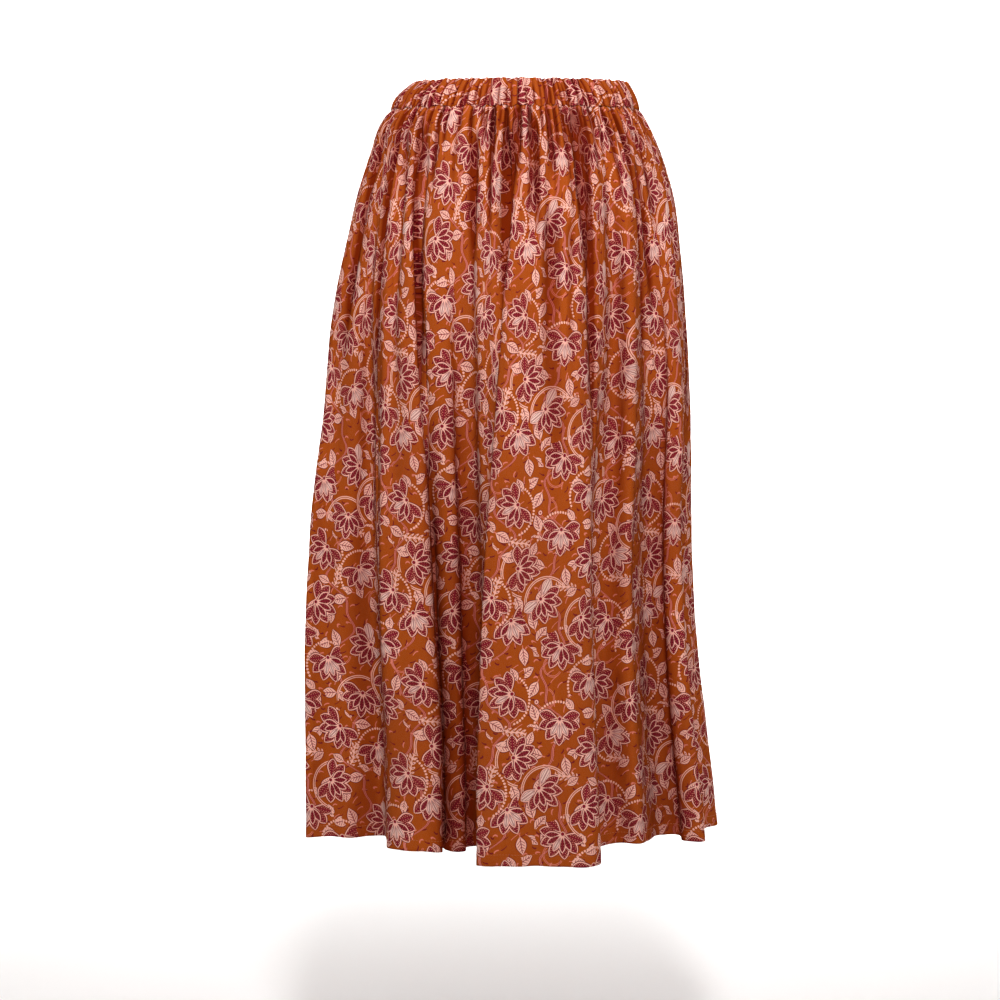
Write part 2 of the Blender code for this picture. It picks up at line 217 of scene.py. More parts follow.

# Creases, listed one by one: where along the panel each starts and ends (0 to 1 from its left edge as
# it is sewn, 1 at its right), its first and last drop, how deep it is (below 0 it is a ridge) and
# how wide. Each is deepened alike, comes in and fades out over shares of its length, and widens.
CREASE_DEEPENING = 1.5
CREASE_COMES_IN = 0.16
CREASE_FADE = 0.45
WIDENING = 0.8
Crease = namedtuple("Crease", "name share end_share start end depth width")
FRONT_CREASES = (
    Crease("left_hip_trough", 0.105, 0.090, 0.020, 0.330, 0.0040, 0.0040),
    Crease("left_hip_ridge", 0.130, 0.118, 0.060, 0.560, -0.0030, 0.0060),
    Crease("left_side_crease", 0.060, 0.052, 0.030, 0.210, 0.0030, 0.0030),
    Crease("second_fold_trough", 0.188, 0.170, 0.015, 0.360, 0.0050, 0.0045),
    Crease("second_fold_edge", 0.218, 0.214, 0.110, 0.780, -0.0032, 0.0050),
    Crease("second_fold_inner", 0.236, 0.236, 0.050, 0.250, 0.0022, 0.0030),
    Crease("second_fold_left_line", 0.186, 0.184, 0.280, 1.000, 0.0040, 0.0028),
    Crease("second_fold_right_line", 0.312, 0.316, 0.400, 1.050, 0.0038, 0.0028),
    Crease("left_valley", 0.262, 0.292, 0.015, 0.290, 0.0065, 0.0036),
    Crease("left_valley_branch", 0.276, 0.300, 0.100, 0.480, 0.0035, 0.0040),
    Crease("third_edge", 0.296, 0.290, 0.250, 0.790, -0.0022, 0.0045),
    Crease("recess_crease", 0.385, 0.380, 0.030, 0.240, 0.0035, 0.0032),
    Crease("recess_ridge", 0.405, 0.400, 0.150, 0.620, -0.0022, 0.0060),
    Crease("centre_valley", 0.466, 0.470, 0.015, 0.400, 0.0068, 0.0034),
    Crease("centre_valley_twin", 0.484, 0.480, 0.040, 0.230, 0.0046, 0.0026),
    Crease("main_fold_left_line", 0.476, 0.474, 0.300, 1.050, 0.0042, 0.0028),
    Crease("main_fold_edge", 0.498, 0.494, 0.180, 0.790, -0.0020, 0.0045),
    Crease("main_fold_right_line", 0.642, 0.652, 0.200, 1.050, 0.0044, 0.0030),
    Crease("centre_short", 0.533, 0.536, 0.018, 0.170, 0.0042, 0.0028),
    Crease("centre_soft", 0.556, 0.560, 0.090, 0.470, 0.0016, 0.0080),
    Crease("main_fold_crease", 0.590, 0.586, 0.120, 0.330, 0.0020, 0.0040),
    Crease("right_valley", 0.634, 0.634, 0.015, 0.380, 0.0058, 0.0036),
    Crease("right_valley_short", 0.616, 0.612, 0.020, 0.160, 0.0030, 0.0026),
    Crease("right_ridge", 0.722, 0.726, 0.120, 0.760, -0.0034, 0.0050),
    Crease("right_hip_valley", 0.758, 0.776, 0.015, 0.340, 0.0060, 0.0038),
    Crease("right_hip_branch", 0.785, 0.800, 0.060, 0.280, 0.0032, 0.0030),
    Crease("right_back_trough", 0.872, 0.868, 0.030, 0.300, 0.0036, 0.0036),
    Crease("right_side_crease", 0.935, 0.938, 0.040, 0.420, 0.0030, 0.0040),
)
BACK_CREASES = (
    Crease("first_trough", 0.070, 0.060, 0.015, 0.300, 0.0050, 0.0038),
    Crease("first_ridge", 0.100, 0.104, 0.100, 0.640, -0.0030, 0.0055),
    Crease("second_short", 0.150, 0.146, 0.020, 0.160, 0.0036, 0.0028),
    Crease("second_trough", 0.214, 0.226, 0.015, 0.360, 0.0058, 0.0040),
    Crease("second_ridge", 0.188, 0.186, 0.140, 0.720, -0.0026, 0.0050),
    Crease("third_soft", 0.300, 0.296, 0.080, 0.420, 0.0020, 0.0070),
    Crease("third_ridge", 0.336, 0.340, 0.160, 0.780, -0.0028, 0.0050),
    Crease("third_short", 0.372, 0.370, 0.020, 0.190, 0.0044, 0.0030),
    Crease("centre_back_trough", 0.452, 0.470, 0.015, 0.420, 0.0064, 0.0038),
    Crease("centre_back_twin", 0.432, 0.436, 0.050, 0.220, 0.0034, 0.0028),
    Crease("centre_back_ridge", 0.520, 0.518, 0.200, 0.760, -0.0024, 0.0050),
    Crease("fourth_short", 0.556, 0.552, 0.020, 0.150, 0.0036, 0.0026),
    Crease("fourth_ridge", 0.590, 0.584, 0.110, 0.700, -0.0028, 0.0055),
    Crease("fourth_trough", 0.690, 0.702, 0.015, 0.380, 0.0058, 0.0040),
    Crease("fourth_soft", 0.640, 0.636, 0.120, 0.480, 0.0020, 0.0075),
    Crease("fifth_short", 0.765, 0.760, 0.018, 0.200, 0.0042, 0.0030),
    Crease("fifth_ridge", 0.812, 0.806, 0.150, 0.740, -0.0030, 0.0055),
    Crease("fifth_trough", 0.858, 0.872, 0.020, 0.310, 0.0048, 0.0036),
    Crease("last_crease", 0.925, 0.930, 0.030, 0.260, 0.0034, 0.0034),
)

# The waistband
BAND_COLUMNS = 1080
BAND_CUT = 1.00
BAND_CHART = 0.086
BAND_PUCKERS = 104
BAND_SEED = 5
BAND_CLOTH = 0.0006
PUCKER_DEPTHS = (0.0026, 0.0066)
PUCKER_WIDTHS = (0.0011, 0.0018)
PUCKER_LEAN = 0.004
PUCKER_FADE = 0.8
PUCKER_FADE_HEIGHTS = (0.35, 0.85)
# The puckers at the middle of the front are shallower, as far from it as these shares of the way round
CALM_FRONT = 0.70
CALM_FRONT_REACH = (0.030, 0.080)
BAND_SWELL = (Wave(0.0004, 17.0, 1.3), Wave(0.0003, 29.0, 0.0))
BAND_TOP_WAVER = (Wave(0.0004, 41.0, 0.7), Wave(0.0003, 23.0, 0.0))
BAND_TOP_HEIGHTS = (0.7, 1.0)
BAND_TOP_PULL = 0.4
BAND_SEAM_HEIGHTS = (0.0, 0.4)
# From the seam up the outside, over the folded top edge and down the inside: height over the seam,
# how far out of the band's middle, and how much of a pucker shows there
Edge = namedtuple("Edge", "height out pucker")
BAND_PROFILE = (
    Edge(0.0002, -0.0004, 0.25),
    Edge(0.0010, 0.0003, 0.42),
    Edge(0.0026, 0.0008, 0.6),
    Edge(0.0052, 0.0013, 0.85),
    Edge(0.0088, 0.0017, 0.95),
    Edge(0.0128, 0.0019, 0.9),
    Edge(0.0170, 0.0019, 0.9),
    Edge(0.0210, 0.0018, 0.95),
    Edge(0.0245, 0.0016, 1.0),
    Edge(0.0272, 0.0013, 1.0),
    Edge(0.0290, 0.0008, 0.95),
    Edge(0.0298, 0.0001, 0.85),
    Edge(0.0294, -0.0007, 0.8),
    Edge(0.0276, -0.0012, 0.75),
    Edge(0.0235, -0.0013, 0.72),
    Edge(0.0180, -0.0013, 0.7),
    Edge(0.0120, -0.0013, 0.7),
    Edge(0.0060, -0.0013, 0.6),
    Edge(0.0012, -0.0012, 0.3),
    Edge(0.0003, -0.0010, 0.25),
)


def smooth_step(value, start, end):
    share = np.clip((value - start) / (end - start), 0.0, 1.0)
    return share * share * (3.0 - 2.0 * share)


def fading(value, start, end):
    return 1.0 - smooth_step(value, start, end)


def smooth_between(where, stations, values):
    slopes = np.gradient(values, stations)
    step = np.clip(np.searchsorted(stations, where) - 1, 0, len(stations) - 2)
    length = stations[step + 1] - stations[step]
    share = (where - stations[step]) / length
    rest = 1.0 - share
    ends = values[step] * (1 + 2 * share) * rest**2 + values[step + 1] * (3 - 2 * share) * share**2
    tangents = slopes[step] * share * rest**2 - slopes[step + 1] * share**2 * rest
    return ends + tangents * length


def reach(side, drop):
    stations = np.array([section.drop for section in SECTIONS])
    values = np.array([getattr(section, side) for section in SECTIONS])
    return smooth_between(np.asarray(drop, float), stations, values)


def ring(drop, bearing):
    across = np.sin(bearing)
    ahead = np.cos(bearing)
    power = RING_SQUARENESS
    size = (np.abs(across) ** power + np.abs(ahead) ** power) ** (-1.0 / power)
    half_width = np.where(across > 0, reach("right", drop), reach("left", drop))
    half_depth = np.where(ahead > 0, reach("front", drop), reach("back", drop))
    return half_width * across * size, -half_depth * ahead * size


def rounded_turn(before, corner, after, widest):
    to_before = before - corner
    to_after = after - corner
    cut = min(widest, TURN_LIMIT * np.linalg.norm(to_before), TURN_LIMIT * np.linalg.norm(to_after))
    start = corner + to_before / np.linalg.norm(to_before) * cut
    end = corner + to_after / np.linalg.norm(to_after) * cut
    shares = np.linspace(0.0, 1.0, TURN_STEPS + 1)[:, None]
    return (1 - shares) ** 2 * start + 2 * shares * (1 - shares) * corner + shares**2 * end


class Panel:
    """One panel's cloth: where each place along its hem lies, and the bearing it hangs from."""

    def __init__(self, turns, turn_before, turn_after):
        corners = [np.array((t.across, t.back)) for t in (turn_before, *turns, turn_after)]
        path = [((corners[0] + corners[1]) / 2)[None, :]]
        middles = []
        for before, corner, after, turn in zip(corners, corners[1:], corners[2:], turns):
            middles.append(sum(len(piece) for piece in path) + TURN_STEPS // 2)
            path.append(rounded_turn(before, corner, after, turn.turn))
        path.append(((corners[-1] + corners[-2]) / 2)[None, :])
        self.path = np.concatenate(path)
        steps = np.linalg.norm(np.diff(self.path, axis=0), axis=1)
        along = np.concatenate([[0.0], np.cumsum(steps)])
        self.width = along[-1]
        self.shares = along / self.width
        ends = [turn_before, *turns, turn_after]
        bearings = np.unwrap(np.radians([turn.bearing for turn in ends]))
        lifts = np.array([turn.lift for turn in ends])
        for values in (bearings, lifts):
            values[0] = (values[0] + values[1]) / 2
            values[-1] = (values[-1] + values[-2]) / 2
        places = np.concatenate([[0.0], self.shares[middles], [1.0]])
        self.nodes = np.linspace(0.0, 1.0, BEARING_NODES)
        self.bearings = np.interp(self.nodes, places, bearings)
        self.lifts = np.interp(self.nodes, places, lifts)
        for _ in range(BEARING_SMOOTHING):
            for values in (self.bearings, self.lifts):
                values[1:-1] = (values[:-2] + 2 * values[1:-1] + values[2:]) / 4

    def hem(self, share):
        return tuple(np.interp(share, self.shares, self.path[:, axis]) for axis in (0, 1))

    def bearing(self, share):
        return np.interp(share, self.nodes, self.bearings)

    def lift(self, share):
        return np.interp(share, self.nodes, self.lifts)


def narrowing(side, drop):
    return reach(side, drop) / reach(side, HEM_DROP)


def directions(row):
    """The way along a row of points, and the way out of it."""
    steps = np.gradient(row, axis=1)
    along = steps / np.hypot(*steps)
    return along, np.stack([along[1], -along[0]])


def fall(drop):
    return (drop - SKIRT_TOP) / (HEM_DROP - SKIRT_TOP)


def fold_share(drop):
    return np.sin(math.pi / 2 * np.clip(fall(drop), 0.0, 1.0)) ** FOLD_ONSET


def sway(wave, share):
    return wave.size * np.sin(2 * math.pi * wave.times * share + wave.phase)


def soft_fold_height(share, drop):
    """The soft folds over the hips: broad crests with narrower valleys between them."""
    begin, full, fade, end = SOFT_FOLD_DROPS
    uneven = share + sum(sway(wave, share) for wave in SOFT_FOLD_WANDER)
    size = SOFT_FOLD_HEIGHT * (1 - SOFT_FOLD_SWELL.size + sway(SOFT_FOLD_SWELL, share))
    size = size * smooth_step(drop, begin, full) * fading(drop, fade, end)
    turn = 2 * math.pi * SOFT_FOLDS_PER_PANEL * uneven
    return size * (np.cos(turn) - SOFT_FOLD_SHARPNESS * np.cos(2 * turn))


def uneven_places(chance, count, spaces):
    """Places from 0 to 1 along the cloth, unevenly apart."""
    gaps = 1.0 + SPACING_UNEVENNESS * (chance.random(spaces) - 0.5)
    return (np.cumsum(gaps) / gaps.sum())[:count]


def between(low, high, share):
    return low + (high - low) * share


def gather_table(seed):
    """Each gather's place along the panel, depth, width, length and lean."""
    chance = np.random.default_rng(seed)
    table = []
    for sort in GATHERS:
        for place in uneven_places(chance, sort.count, sort.count + 1):
            depth = between(sort.shallowest, sort.deepest, chance.random())
            width = between(sort.narrowest, sort.widest, chance.random())
            length = between(sort.shortest, sort.longest, chance.random() ** MORE_SHORT_ONES)
            table.append((place, depth, width, length, GATHER_LEAN * (chance.random() - 0.5)))
    return table


def trough(distance, width):
    return np.exp(-((distance / width) ** 2))


def crease_depth(share, metres, drop, gathers, creases):
    """How far the gathers and the creases press the cloth in along one row."""
    depth = np.zeros_like(share)
    for place, size, width, length, lean in gathers:
        down = (drop - SKIRT_TOP) / length
        if down >= 1.0:
            continue
        middle = np.interp(place + lean * down, share, metres)
        size = size * fading(down, GATHER_FADE, 1.0)
        depth += size * trough(metres - middle, width * (1.0 + WIDENING * down))
    for crease in creases:
        down = (drop - crease.start) / (crease.end - crease.start)
        if not 0.0 < down < 1.0:
            continue
        middle = np.interp(between(crease.share, crease.end_share, down), share, metres)
        size = CREASE_DEEPENING * crease.depth
        size = size * smooth_step(down, 0.0, CREASE_COMES_IN) * fading(down, CREASE_FADE, 1.0)
        depth += size * trough(metres - middle, crease.width * (1.0 + WIDENING * down))
    return depth


def seam_rise(row_x, row_y):
    """How the waistband's seam rises and dips where the gathers pull on it."""
    bearing = np.arctan2(row_x, -row_y) / (2 * math.pi)
    return sum(sway(wave, bearing) for wave in SEAM_WAVER)


def rumple(share, drop, phase):
    """Slow unevenness of hanging cloth."""
    waves = []
    for wave in RUMPLES:
        turn = 2 * math.pi * wave.across * share + wave.down * drop + wave.shift * phase
        waves.append(wave.size * np.sin(turn))
    waves[-1] = waves[-1] * math.sin(RUMPLE_BREAKS * drop + phase)
    return RUMPLE_DEPTH * sum(waves) * smooth_step(drop, *RUMPLE_DROPS)


def panel_row(panel, drop, share, gathers, creases, phase):
    """The middle of the cloth along one row, and how far it is pressed in there."""
    folds = fold_share(drop)
    ring_x, ring_y = ring(drop, panel.bearing(share))
    hem_x, hem_y = panel.hem(share)
    width = np.where(hem_x > 0, narrowing("right", drop), narrowing("left", drop))
    depth = np.where(hem_y < 0, narrowing("front", drop), narrowing("back", drop))
    middle = np.stack([
        (1 - folds) * ring_x + folds * hem_x * width,
        (1 - folds) * ring_y + folds * hem_y * depth,
    ])
    _, out = directions(middle)
    from_edge = np.minimum(share, 1 - share)
    middle = middle + out * smooth_step(from_edge, *CALM_FOR_FOLDS) * soft_fold_height(share, drop)
    along, out = directions(middle)
    metres = np.concatenate([[0.0], np.cumsum(np.hypot(*np.diff(middle, axis=1)))])
    below_seam = drop - SKIRT_TOP
    press = crease_depth(share, metres, drop, gathers, creases) - rumple(share, drop, phase)
    press = press * (SEAM_PRESS + (1.0 - SEAM_PRESS) * smooth_step(below_seam, 0.0, SEAM_PRESS_REACH))
    press = press * smooth_step(from_edge, 0.0, CALM_FOR_CREASES)
    grooves = trough(metres, SIDE_SEAM_WIDTH) + trough(metres[-1] - metres, SIDE_SEAM_WIDTH)
    tuck = TUCK_IN * fading(below_seam, 0.0, TUCK_REACH)
    puff = GATHER_PUFF * smooth_step(below_seam, 0.0, PUFF_REACH) * fading(drop, *PUFF_FADE)
    middle = middle - out * (press + SIDE_SEAM_DEPTH * grooves + tuck - puff)
    middle[:, 0] += along[:, 0] * SEAM_GAP / 2
    middle[:, -1] -= along[:, -1] * SEAM_GAP / 2
    ripple = sum(sway(wave, share + 0.1 * phase) for wave in HEM_RIPPLE)
    ripple = ripple * smooth_step(drop, RIPPLE_START, HEM_DROP)
    pull = seam_rise(*middle) * fading(below_seam, 0.0, SEAM_WAVER_REACH)
    z = -drop + panel.lift(share) * fall(drop) ** 2 + ripple + pull
    return np.column_stack([*middle, z]), press


def closed_in(row):
    """How far each place along a row is shut in by the folds beside it: 0 is open, 1 is shut."""
    step = max(1, len(row) // FOLD_SAMPLES)
    points = row[::step, :2].T
    along, out = directions(points)
    start, end = points[:, :-1], points[:, 1:]
    edge = end - start
    shut = np.zeros(points.shape[1])
    total = 0.0
    for turn in np.radians(FOLD_LOOKS):
        look = (out * math.cos(turn) + along * math.sin(turn)) * FOLD_REACH
        origin = points + out * FOLD_CLEAR
        gap = start[:, None, :] - origin[:, :, None]
        cross = look[0][:, None] * edge[1] - look[1][:, None] * edge[0]
        cross = np.where(np.abs(cross) < PARALLEL, PARALLEL, cross)
        far = (gap[0] * edge[1] - gap[1] * edge[0]) / cross
        on_edge = (gap[0] * look[1][:, None] - gap[1] * look[0][:, None]) / cross
        hit = ((far > 0) & (far < 1) & (on_edge >= 0) & (on_edge <= 1)).any(axis=1)
        shut += hit * math.cos(turn)
        total += math.cos(turn)
    return np.interp(np.arange(len(row)), np.arange(0, len(row), step), shut / total)


def smooth_object(name, points, faces, materials):
    mesh = bpy.data.meshes.new(name)
    mesh.from_pydata([tuple(p) for p in points], [], faces)
    mesh.polygons.foreach_set("use_smooth", [True] * len(mesh.polygons))
    for material in materials:
        mesh.materials.append(material)
    piece = bpy.data.objects.new(name, mesh)
    bpy.context.scene.collection.objects.link(piece)
    return piece


def cloth_object(name, points, faces, uvs, pressed, shut, materials):
    """A named piece from its points, faces, each point's place on the flat cloth, how far in it
    is pressed, in millimetres, and how far the folds shut it in."""
    piece = smooth_object(name, points, faces, materials)
    mesh = piece.data
    layer = mesh.uv_layers.new(name="cloth")
    corners = np.empty(len(mesh.loops), dtype=np.int32)
    mesh.loops.foreach_get("vertex_index", corners)
    layer.data.foreach_set("uv", np.asarray(uvs)[corners].astype(np.float32).ravel())
    depths = mesh.attributes.new("pressed", "FLOAT", "POINT")
    depths.data.foreach_set("value", 1000.0 * np.asarray(pressed, dtype=np.float32))
    folds = mesh.attributes.new("shut", "FLOAT", "POINT")
    folds.data.foreach_set("value", np.asarray(shut, dtype=np.float32))
    return piece


def strip_faces(upper, lower, closed):
    """Faces between two rows of point numbers. The lower row may have half as many steps."""
    faces = []
    steps = len(lower) - (0 if closed else 1)
    double = len(upper) > len(lower)
    for i in range(steps):
        low, low_next = lower[i], lower[(i + 1) % len(lower)]
        if not double:
            faces.append((upper[i], low, low_next, upper[(i + 1) % len(upper)]))
            continue
        first, middle, last = (upper[(2 * i + k) % len(upper)] for k in range(3))
        faces.extend(((first, low, middle), (low, low_next, middle), (middle, low_next, last)))
    return faces


def give_thickness(piece, thickness, wrong_side, double=None):
    """Thickness to both sides of the mesh; outside the double group the cloth is single."""
    shell = piece.modifiers.new("cloth thickness", "SOLIDIFY")
    shell.thickness = thickness
    shell.offset = 0.0
    shell.use_even_offset = False
    shell.material_offset = wrong_side
    shell.material_offset_rim = 0
    if double:
        shell.vertex_group = double
        shell.thickness_vertex_group = SINGLE_TO_DOUBLE


def cut_width(drop):
    return between(CUT_TOP, CUT_HEM, fall(drop))


def panel_drops():
    """The drop of each row of the mesh, closer together under the waist seam and in the hem."""
    shares = np.linspace(0.0, 1.0, UPPER_ROWS) ** ROW_CROWDING
    upper = between(SKIRT_TOP, LAST_UPPER_ROW, shares)
    lower = np.linspace(LAST_UPPER_ROW, HEM_DROP - HEM_TURN, LOWER_ROWS + 1)[1:]
    hem = HEM_DROP - HEM_TURN * np.array(HEM_ROWS)
    return [SKIRT_TOP - SEAM_TUCK, *upper, *lower, *hem]


def cloth_panel(name, panel, seed, creases, phase, materials):
    gathers = gather_table(seed)
    drops = panel_drops()
    first_turned = len(drops) - len(HEM_ROWS)
    points, uvs, rows, pressed, shut = [], [], [], [], []
    for number, drop in enumerate(drops):
        columns = UPPER_COLUMNS if number < UPPER_ROWS else LOWER_COLUMNS
        share = np.linspace(0.0, 1.0, columns + 1)
        row, press = panel_row(panel, drop, share, gathers, creases, phase)
        rows.append(list(range(len(points), len(points) + len(row))))
        points.extend(row)
        pressed.extend(press)
        shut.extend(closed_in(row) * between(SHUT_AT_TOP, 1.0, smooth_step(drop, *SHUT_DROPS)))
        uvs.extend(np.column_stack([(share - 0.5) * cut_width(drop), np.full(len(share), -drop)]))
    faces = []
    for top, bottom in zip(rows, rows[1:]):
        faces.extend(strip_faces(top, bottom, closed=False))
    piece = cloth_object(name, points, faces, uvs, pressed, shut, materials)
    hem = piece.vertex_groups.new(name="turned hem")
    hem.add([number for row in rows[first_turned:] for number in row], 1.0, "REPLACE")
    give_thickness(piece, CLOTH / SINGLE_TO_DOUBLE, wrong_side=1, double=hem.name)
    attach(piece, "root")
    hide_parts(name.replace("_cloth", ""))


def stitch_shape(centre, along, out):
    """One stitch of thread: a short bead, flat to the cloth and narrowed at both ends."""
    side = np.cross(along, out)
    half = along * STITCH_LENGTH / 2
    sunk = out * STITCH_SINK
    points = [centre - half - sunk]
    for place, girth in STITCH_RINGS:
        for step in range(STITCH_SIDES):
            turn = 2 * math.pi * step / STITCH_SIDES
            off = (side * math.cos(turn) + out * math.sin(turn)) * girth * STITCH_RADIUS
            points.append(centre + place * half + off - sunk * place**2)
    points.append(centre + half - sunk)
    return points


def stitch_faces(first):
    sides = STITCH_SIDES
    faces = []
    for step in range(sides):
        after = (step + 1) % sides
        faces.append((first, first + 1 + after, first + 1 + step))
        for band in range(len(STITCH_RINGS) - 1):
            low = first + 1 + band * sides
            faces.append((low + step, low + after, low + sides + after, low + sides + step))
        low = first + 1 + (len(STITCH_RINGS) - 1) * sides
        faces.append((low + step, low + after, low + sides))
    return faces


def hem_stitches(name, panel, seed, creases, phase, thread):
    """The row of machine stitches that holds the turned hem, on the right side and the wrong side."""
    share = np.linspace(0.0, 1.0, LOWER_COLUMNS + 1)
    drop = HEM_DROP - HEM_ROWS[0] * HEM_TURN
    row, _ = panel_row(panel, drop, share, gather_table(seed), creases, phase)
    metres = np.concatenate([[0.0], np.cumsum(np.linalg.norm(np.diff(row, axis=0), axis=1))])
    points, faces = [], []
    for place in np.arange(STITCH_PITCH, metres[-1] - STITCH_PITCH, STITCH_PITCH):
        start, centre, end = (
            np.array([np.interp(place + near, metres, row[:, axis]) for axis in range(3)])
            for near in (-STITCH_LENGTH / 2, 0.0, STITCH_LENGTH / 2)
        )
        along = (end - start) / np.linalg.norm(end - start)
        out = np.cross(along, (0.0, 0.0, 1.0))
        out /= np.linalg.norm(out)
        for side in (out, -out):
            faces.extend(stitch_faces(len(points)))
            points.extend(stitch_shape(centre + side * STITCH_STAND, along, side))
    piece = smooth_object(name, points, faces, [thread])
    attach(piece, "root")


def band_puckers():
    """The places of the waistband's puckers, each with its depth, width, lean and reach up the band."""
    chance = np.random.default_rng(BAND_SEED)
    table = []
    for place in uneven_places(chance, BAND_PUCKERS, BAND_PUCKERS):
        from_front = min(place, 1 - place)
        calm = between(CALM_FRONT, 1.0, smooth_step(from_front, *CALM_FRONT_REACH))
        depth = calm * between(*PUCKER_DEPTHS, chance.random())
        width = between(*PUCKER_WIDTHS, chance.random())
        lean = PUCKER_LEAN * (chance.random() - 0.5)
        table.append((place, depth, width, lean, chance.random()))
    return table


def band_press(metres, around, up, puckers):
    """How far the puckers press the band in, all round at one height."""
    press = np.zeros(BAND_COLUMNS)
    for place, depth, width, lean, highest in puckers:
        apart = np.abs(metres - (place + lean * up) % 1.0 * around)
        apart = np.minimum(apart, around - apart)
        fade = 1.0 - (1.0 - highest) * PUCKER_FADE * smooth_step(up, *PUCKER_FADE_HEIGHTS)
        press += depth * fade * trough(apart, width)
    return press


def cloth_waistband(material):
    share = np.arange(BAND_COLUMNS) / BAND_COLUMNS
    swell = sum(sway(wave, share) for wave in BAND_SWELL)
    waver = sum(sway(wave, share) for wave in BAND_TOP_WAVER)
    puckers = band_puckers()
    points, uvs, rows, pressed = [], [], [], []
    for edge in BAND_PROFILE:
        drop = BAND_HEIGHT / 2 - edge.height
        middle = np.stack(ring(drop, 2 * math.pi * share))
        out = middle / np.hypot(*middle)
        steps = np.hypot(*(np.roll(middle, -1, axis=1) - middle))
        metres = np.concatenate([[0.0], np.cumsum(steps)])[:-1]
        up = edge.height / BAND_HEIGHT
        press = band_press(metres, steps.sum(), up, puckers)
        row = middle + out * (edge.out + (swell - press) * edge.pucker)
        top = (waver - BAND_TOP_PULL * press) * smooth_step(up, *BAND_TOP_HEIGHTS)
        z = top + seam_rise(*middle) * fading(up, *BAND_SEAM_HEIGHTS) - drop
        rows.append(list(range(len(points), len(points) + BAND_COLUMNS)))
        points.extend(np.column_stack([*row, z]))
        pressed.extend(press)
        height = np.full(BAND_COLUMNS, edge.height + BAND_CHART)
        uvs.extend(np.column_stack([(share - 0.5) * BAND_CUT, height]))
    faces = []
    for bottom, top in zip(rows, rows[1:]):
        faces.extend(strip_faces(top, bottom, closed=True))
    shut = [0.0] * len(points)
    piece = cloth_object("waistband_cloth", points, faces, uvs, pressed, shut, [material])
    give_thickness(piece, BAND_CLOTH, wrong_side=0)
    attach(piece, "root")
    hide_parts("waistband")


# The print, a charted repeat, in millimetres of flat cloth
REPEAT_ACROSS = 132.0
REPEAT_UP = 195.0
CHART_ACROSS = 150.0
CHART_UP = 222.0
NOWHERE = 1000.0
CODE_STEP = 0.001
TURN_CODE = 1000
# Each motif's place in the repeat, the way it points in degrees (0 is up) and its kind
Motif = namedtuple("Motif", "across up turn kind")
FLOWER_SIZE = 30.0
FLOWERS = (
    Motif(22, 36, 205, 0),
    Motif(34, 104, 262, 2),
    Motif(14, 176, 118, 1),
    Motif(82, 8, 150, 1),
    Motif(64, 64, 228, 3),
    Motif(84, 142, 178, 0),
    Motif(122, 44, 245, 2),
    Motif(126, 110, 132, 1),
    Motif(128, 192, 196, 0),
    Motif(178, 214, 108, 3),
    Motif(184, 84, 214, 0),
    Motif(166, 148, 168, 2),
    Motif(222, 28, 142, 1),
    Motif(238, 112, 250, 0),
    Motif(214, 174, 222, 2),
    Motif(272, 2, 186, 0),
    Motif(286, 66, 126, 1),
    Motif(266, 150, 234, 2),
)
LEAF_SIZE = 12.0
LEAVES = (
    Motif(78, 142, 40, 0),
    Motif(40, 206, 300, 0),
    Motif(111, 9, 15, 1),
    Motif(123, 61, 250, 0),
    Motif(50, 141, 80, 1),
    Motif(100, 108, 130, 0),
    Motif(27, 63, 200, 0),
    Motif(136, 180, 340, 0),
    Motif(127, 76, 60, 1),
    Motif(125, 219, 110, 0),
    Motif(139, 154, 210, 1),
    Motif(140, 4, 20, 0),
    Motif(59, 29, 320, 0),
    Motif(135, 30, 170, 1),
    Motif(122, 157, 95, 0),
    Motif(50, 8, 230, 1),
    Motif(66, 14, 145, 0),
    Motif(9, 63, 75, 1),
    Motif(84, 126, 285, 1),
    Motif(24, 203, 30, 1),
    Motif(36, 2, 190, 0),
    Motif(96, 4, 310, 1),
    Motif(57, 71, 350, 0),
    Motif(22, 84, 100, 1),
    Motif(51, 158, 20, 0),
    Motif(13, 118, 260, 0),
    Motif(97, 34, 55, 1),
    Motif(108, 42, 330, 0),
    Motif(47, 44, 20, 0),
    Motif(100, 78, 300, 1),
    Motif(92, 96, 190, 0),
    Motif(52, 110, 75, 0),
    Motif(46, 128, 340, 1),
    Motif(104, 150, 200, 0),
    Motif(98, 168, 35, 1),
    Motif(50, 186, 150, 0),
    Motif(106, 206, 270, 1),
    Motif(148, 52, 100, 0),
    Motif(146, 134, 15, 1),
    Motif(4, 142, 240, 0),
)
SPRIG_SIZE = 15.0
SPRIGS = (
    Motif(91, 84, 70, 0),
    Motif(65, 175, 200, 1),
    Motif(148, 82, 330, 0),
    Motif(145, 206, 120, 1),
    Motif(27, 135, 250, 0),
    Motif(75, 213, 100, 1),
    Motif(52, 50, 30, 1),
)

# A flower is two fans of petals on one foot, with so many petals at most to each side of the middle
# one. Pitch is in radians, sizes are in millimetres, and each petal is shorter than the one before.
Fan = namedtuple("Fan", "pitch most gap length shorter width outline dots")
BACK_FAN = Fan(0.60, 3, 2.5, 27.5, 1.2, 5.8, 1.25, 0.28)
FRONT_FAN = Fan(0.50, 2, 1.5, 20.5, 0.8, 3.7, 1.15, 0.18)
FOOT_DROP = 8.0
FOOT_EYE = 1.9
FOOT_RING = 2.6
PETAL_TAPER = 1.35
PETAL_ROUNDNESS = 0.72
PETAL_CONTOUR = 0.9
PETAL_CONTOUR_ENDS = (0.06, 0.985)
PETAL_HEART = 0.16
DOT_PITCH = 2.9
STRIPE_PITCH = 2.1
STRIPE_SHARE = 0.34
PALE_RIM = 1.9
LILAC_SHARE = 0.7
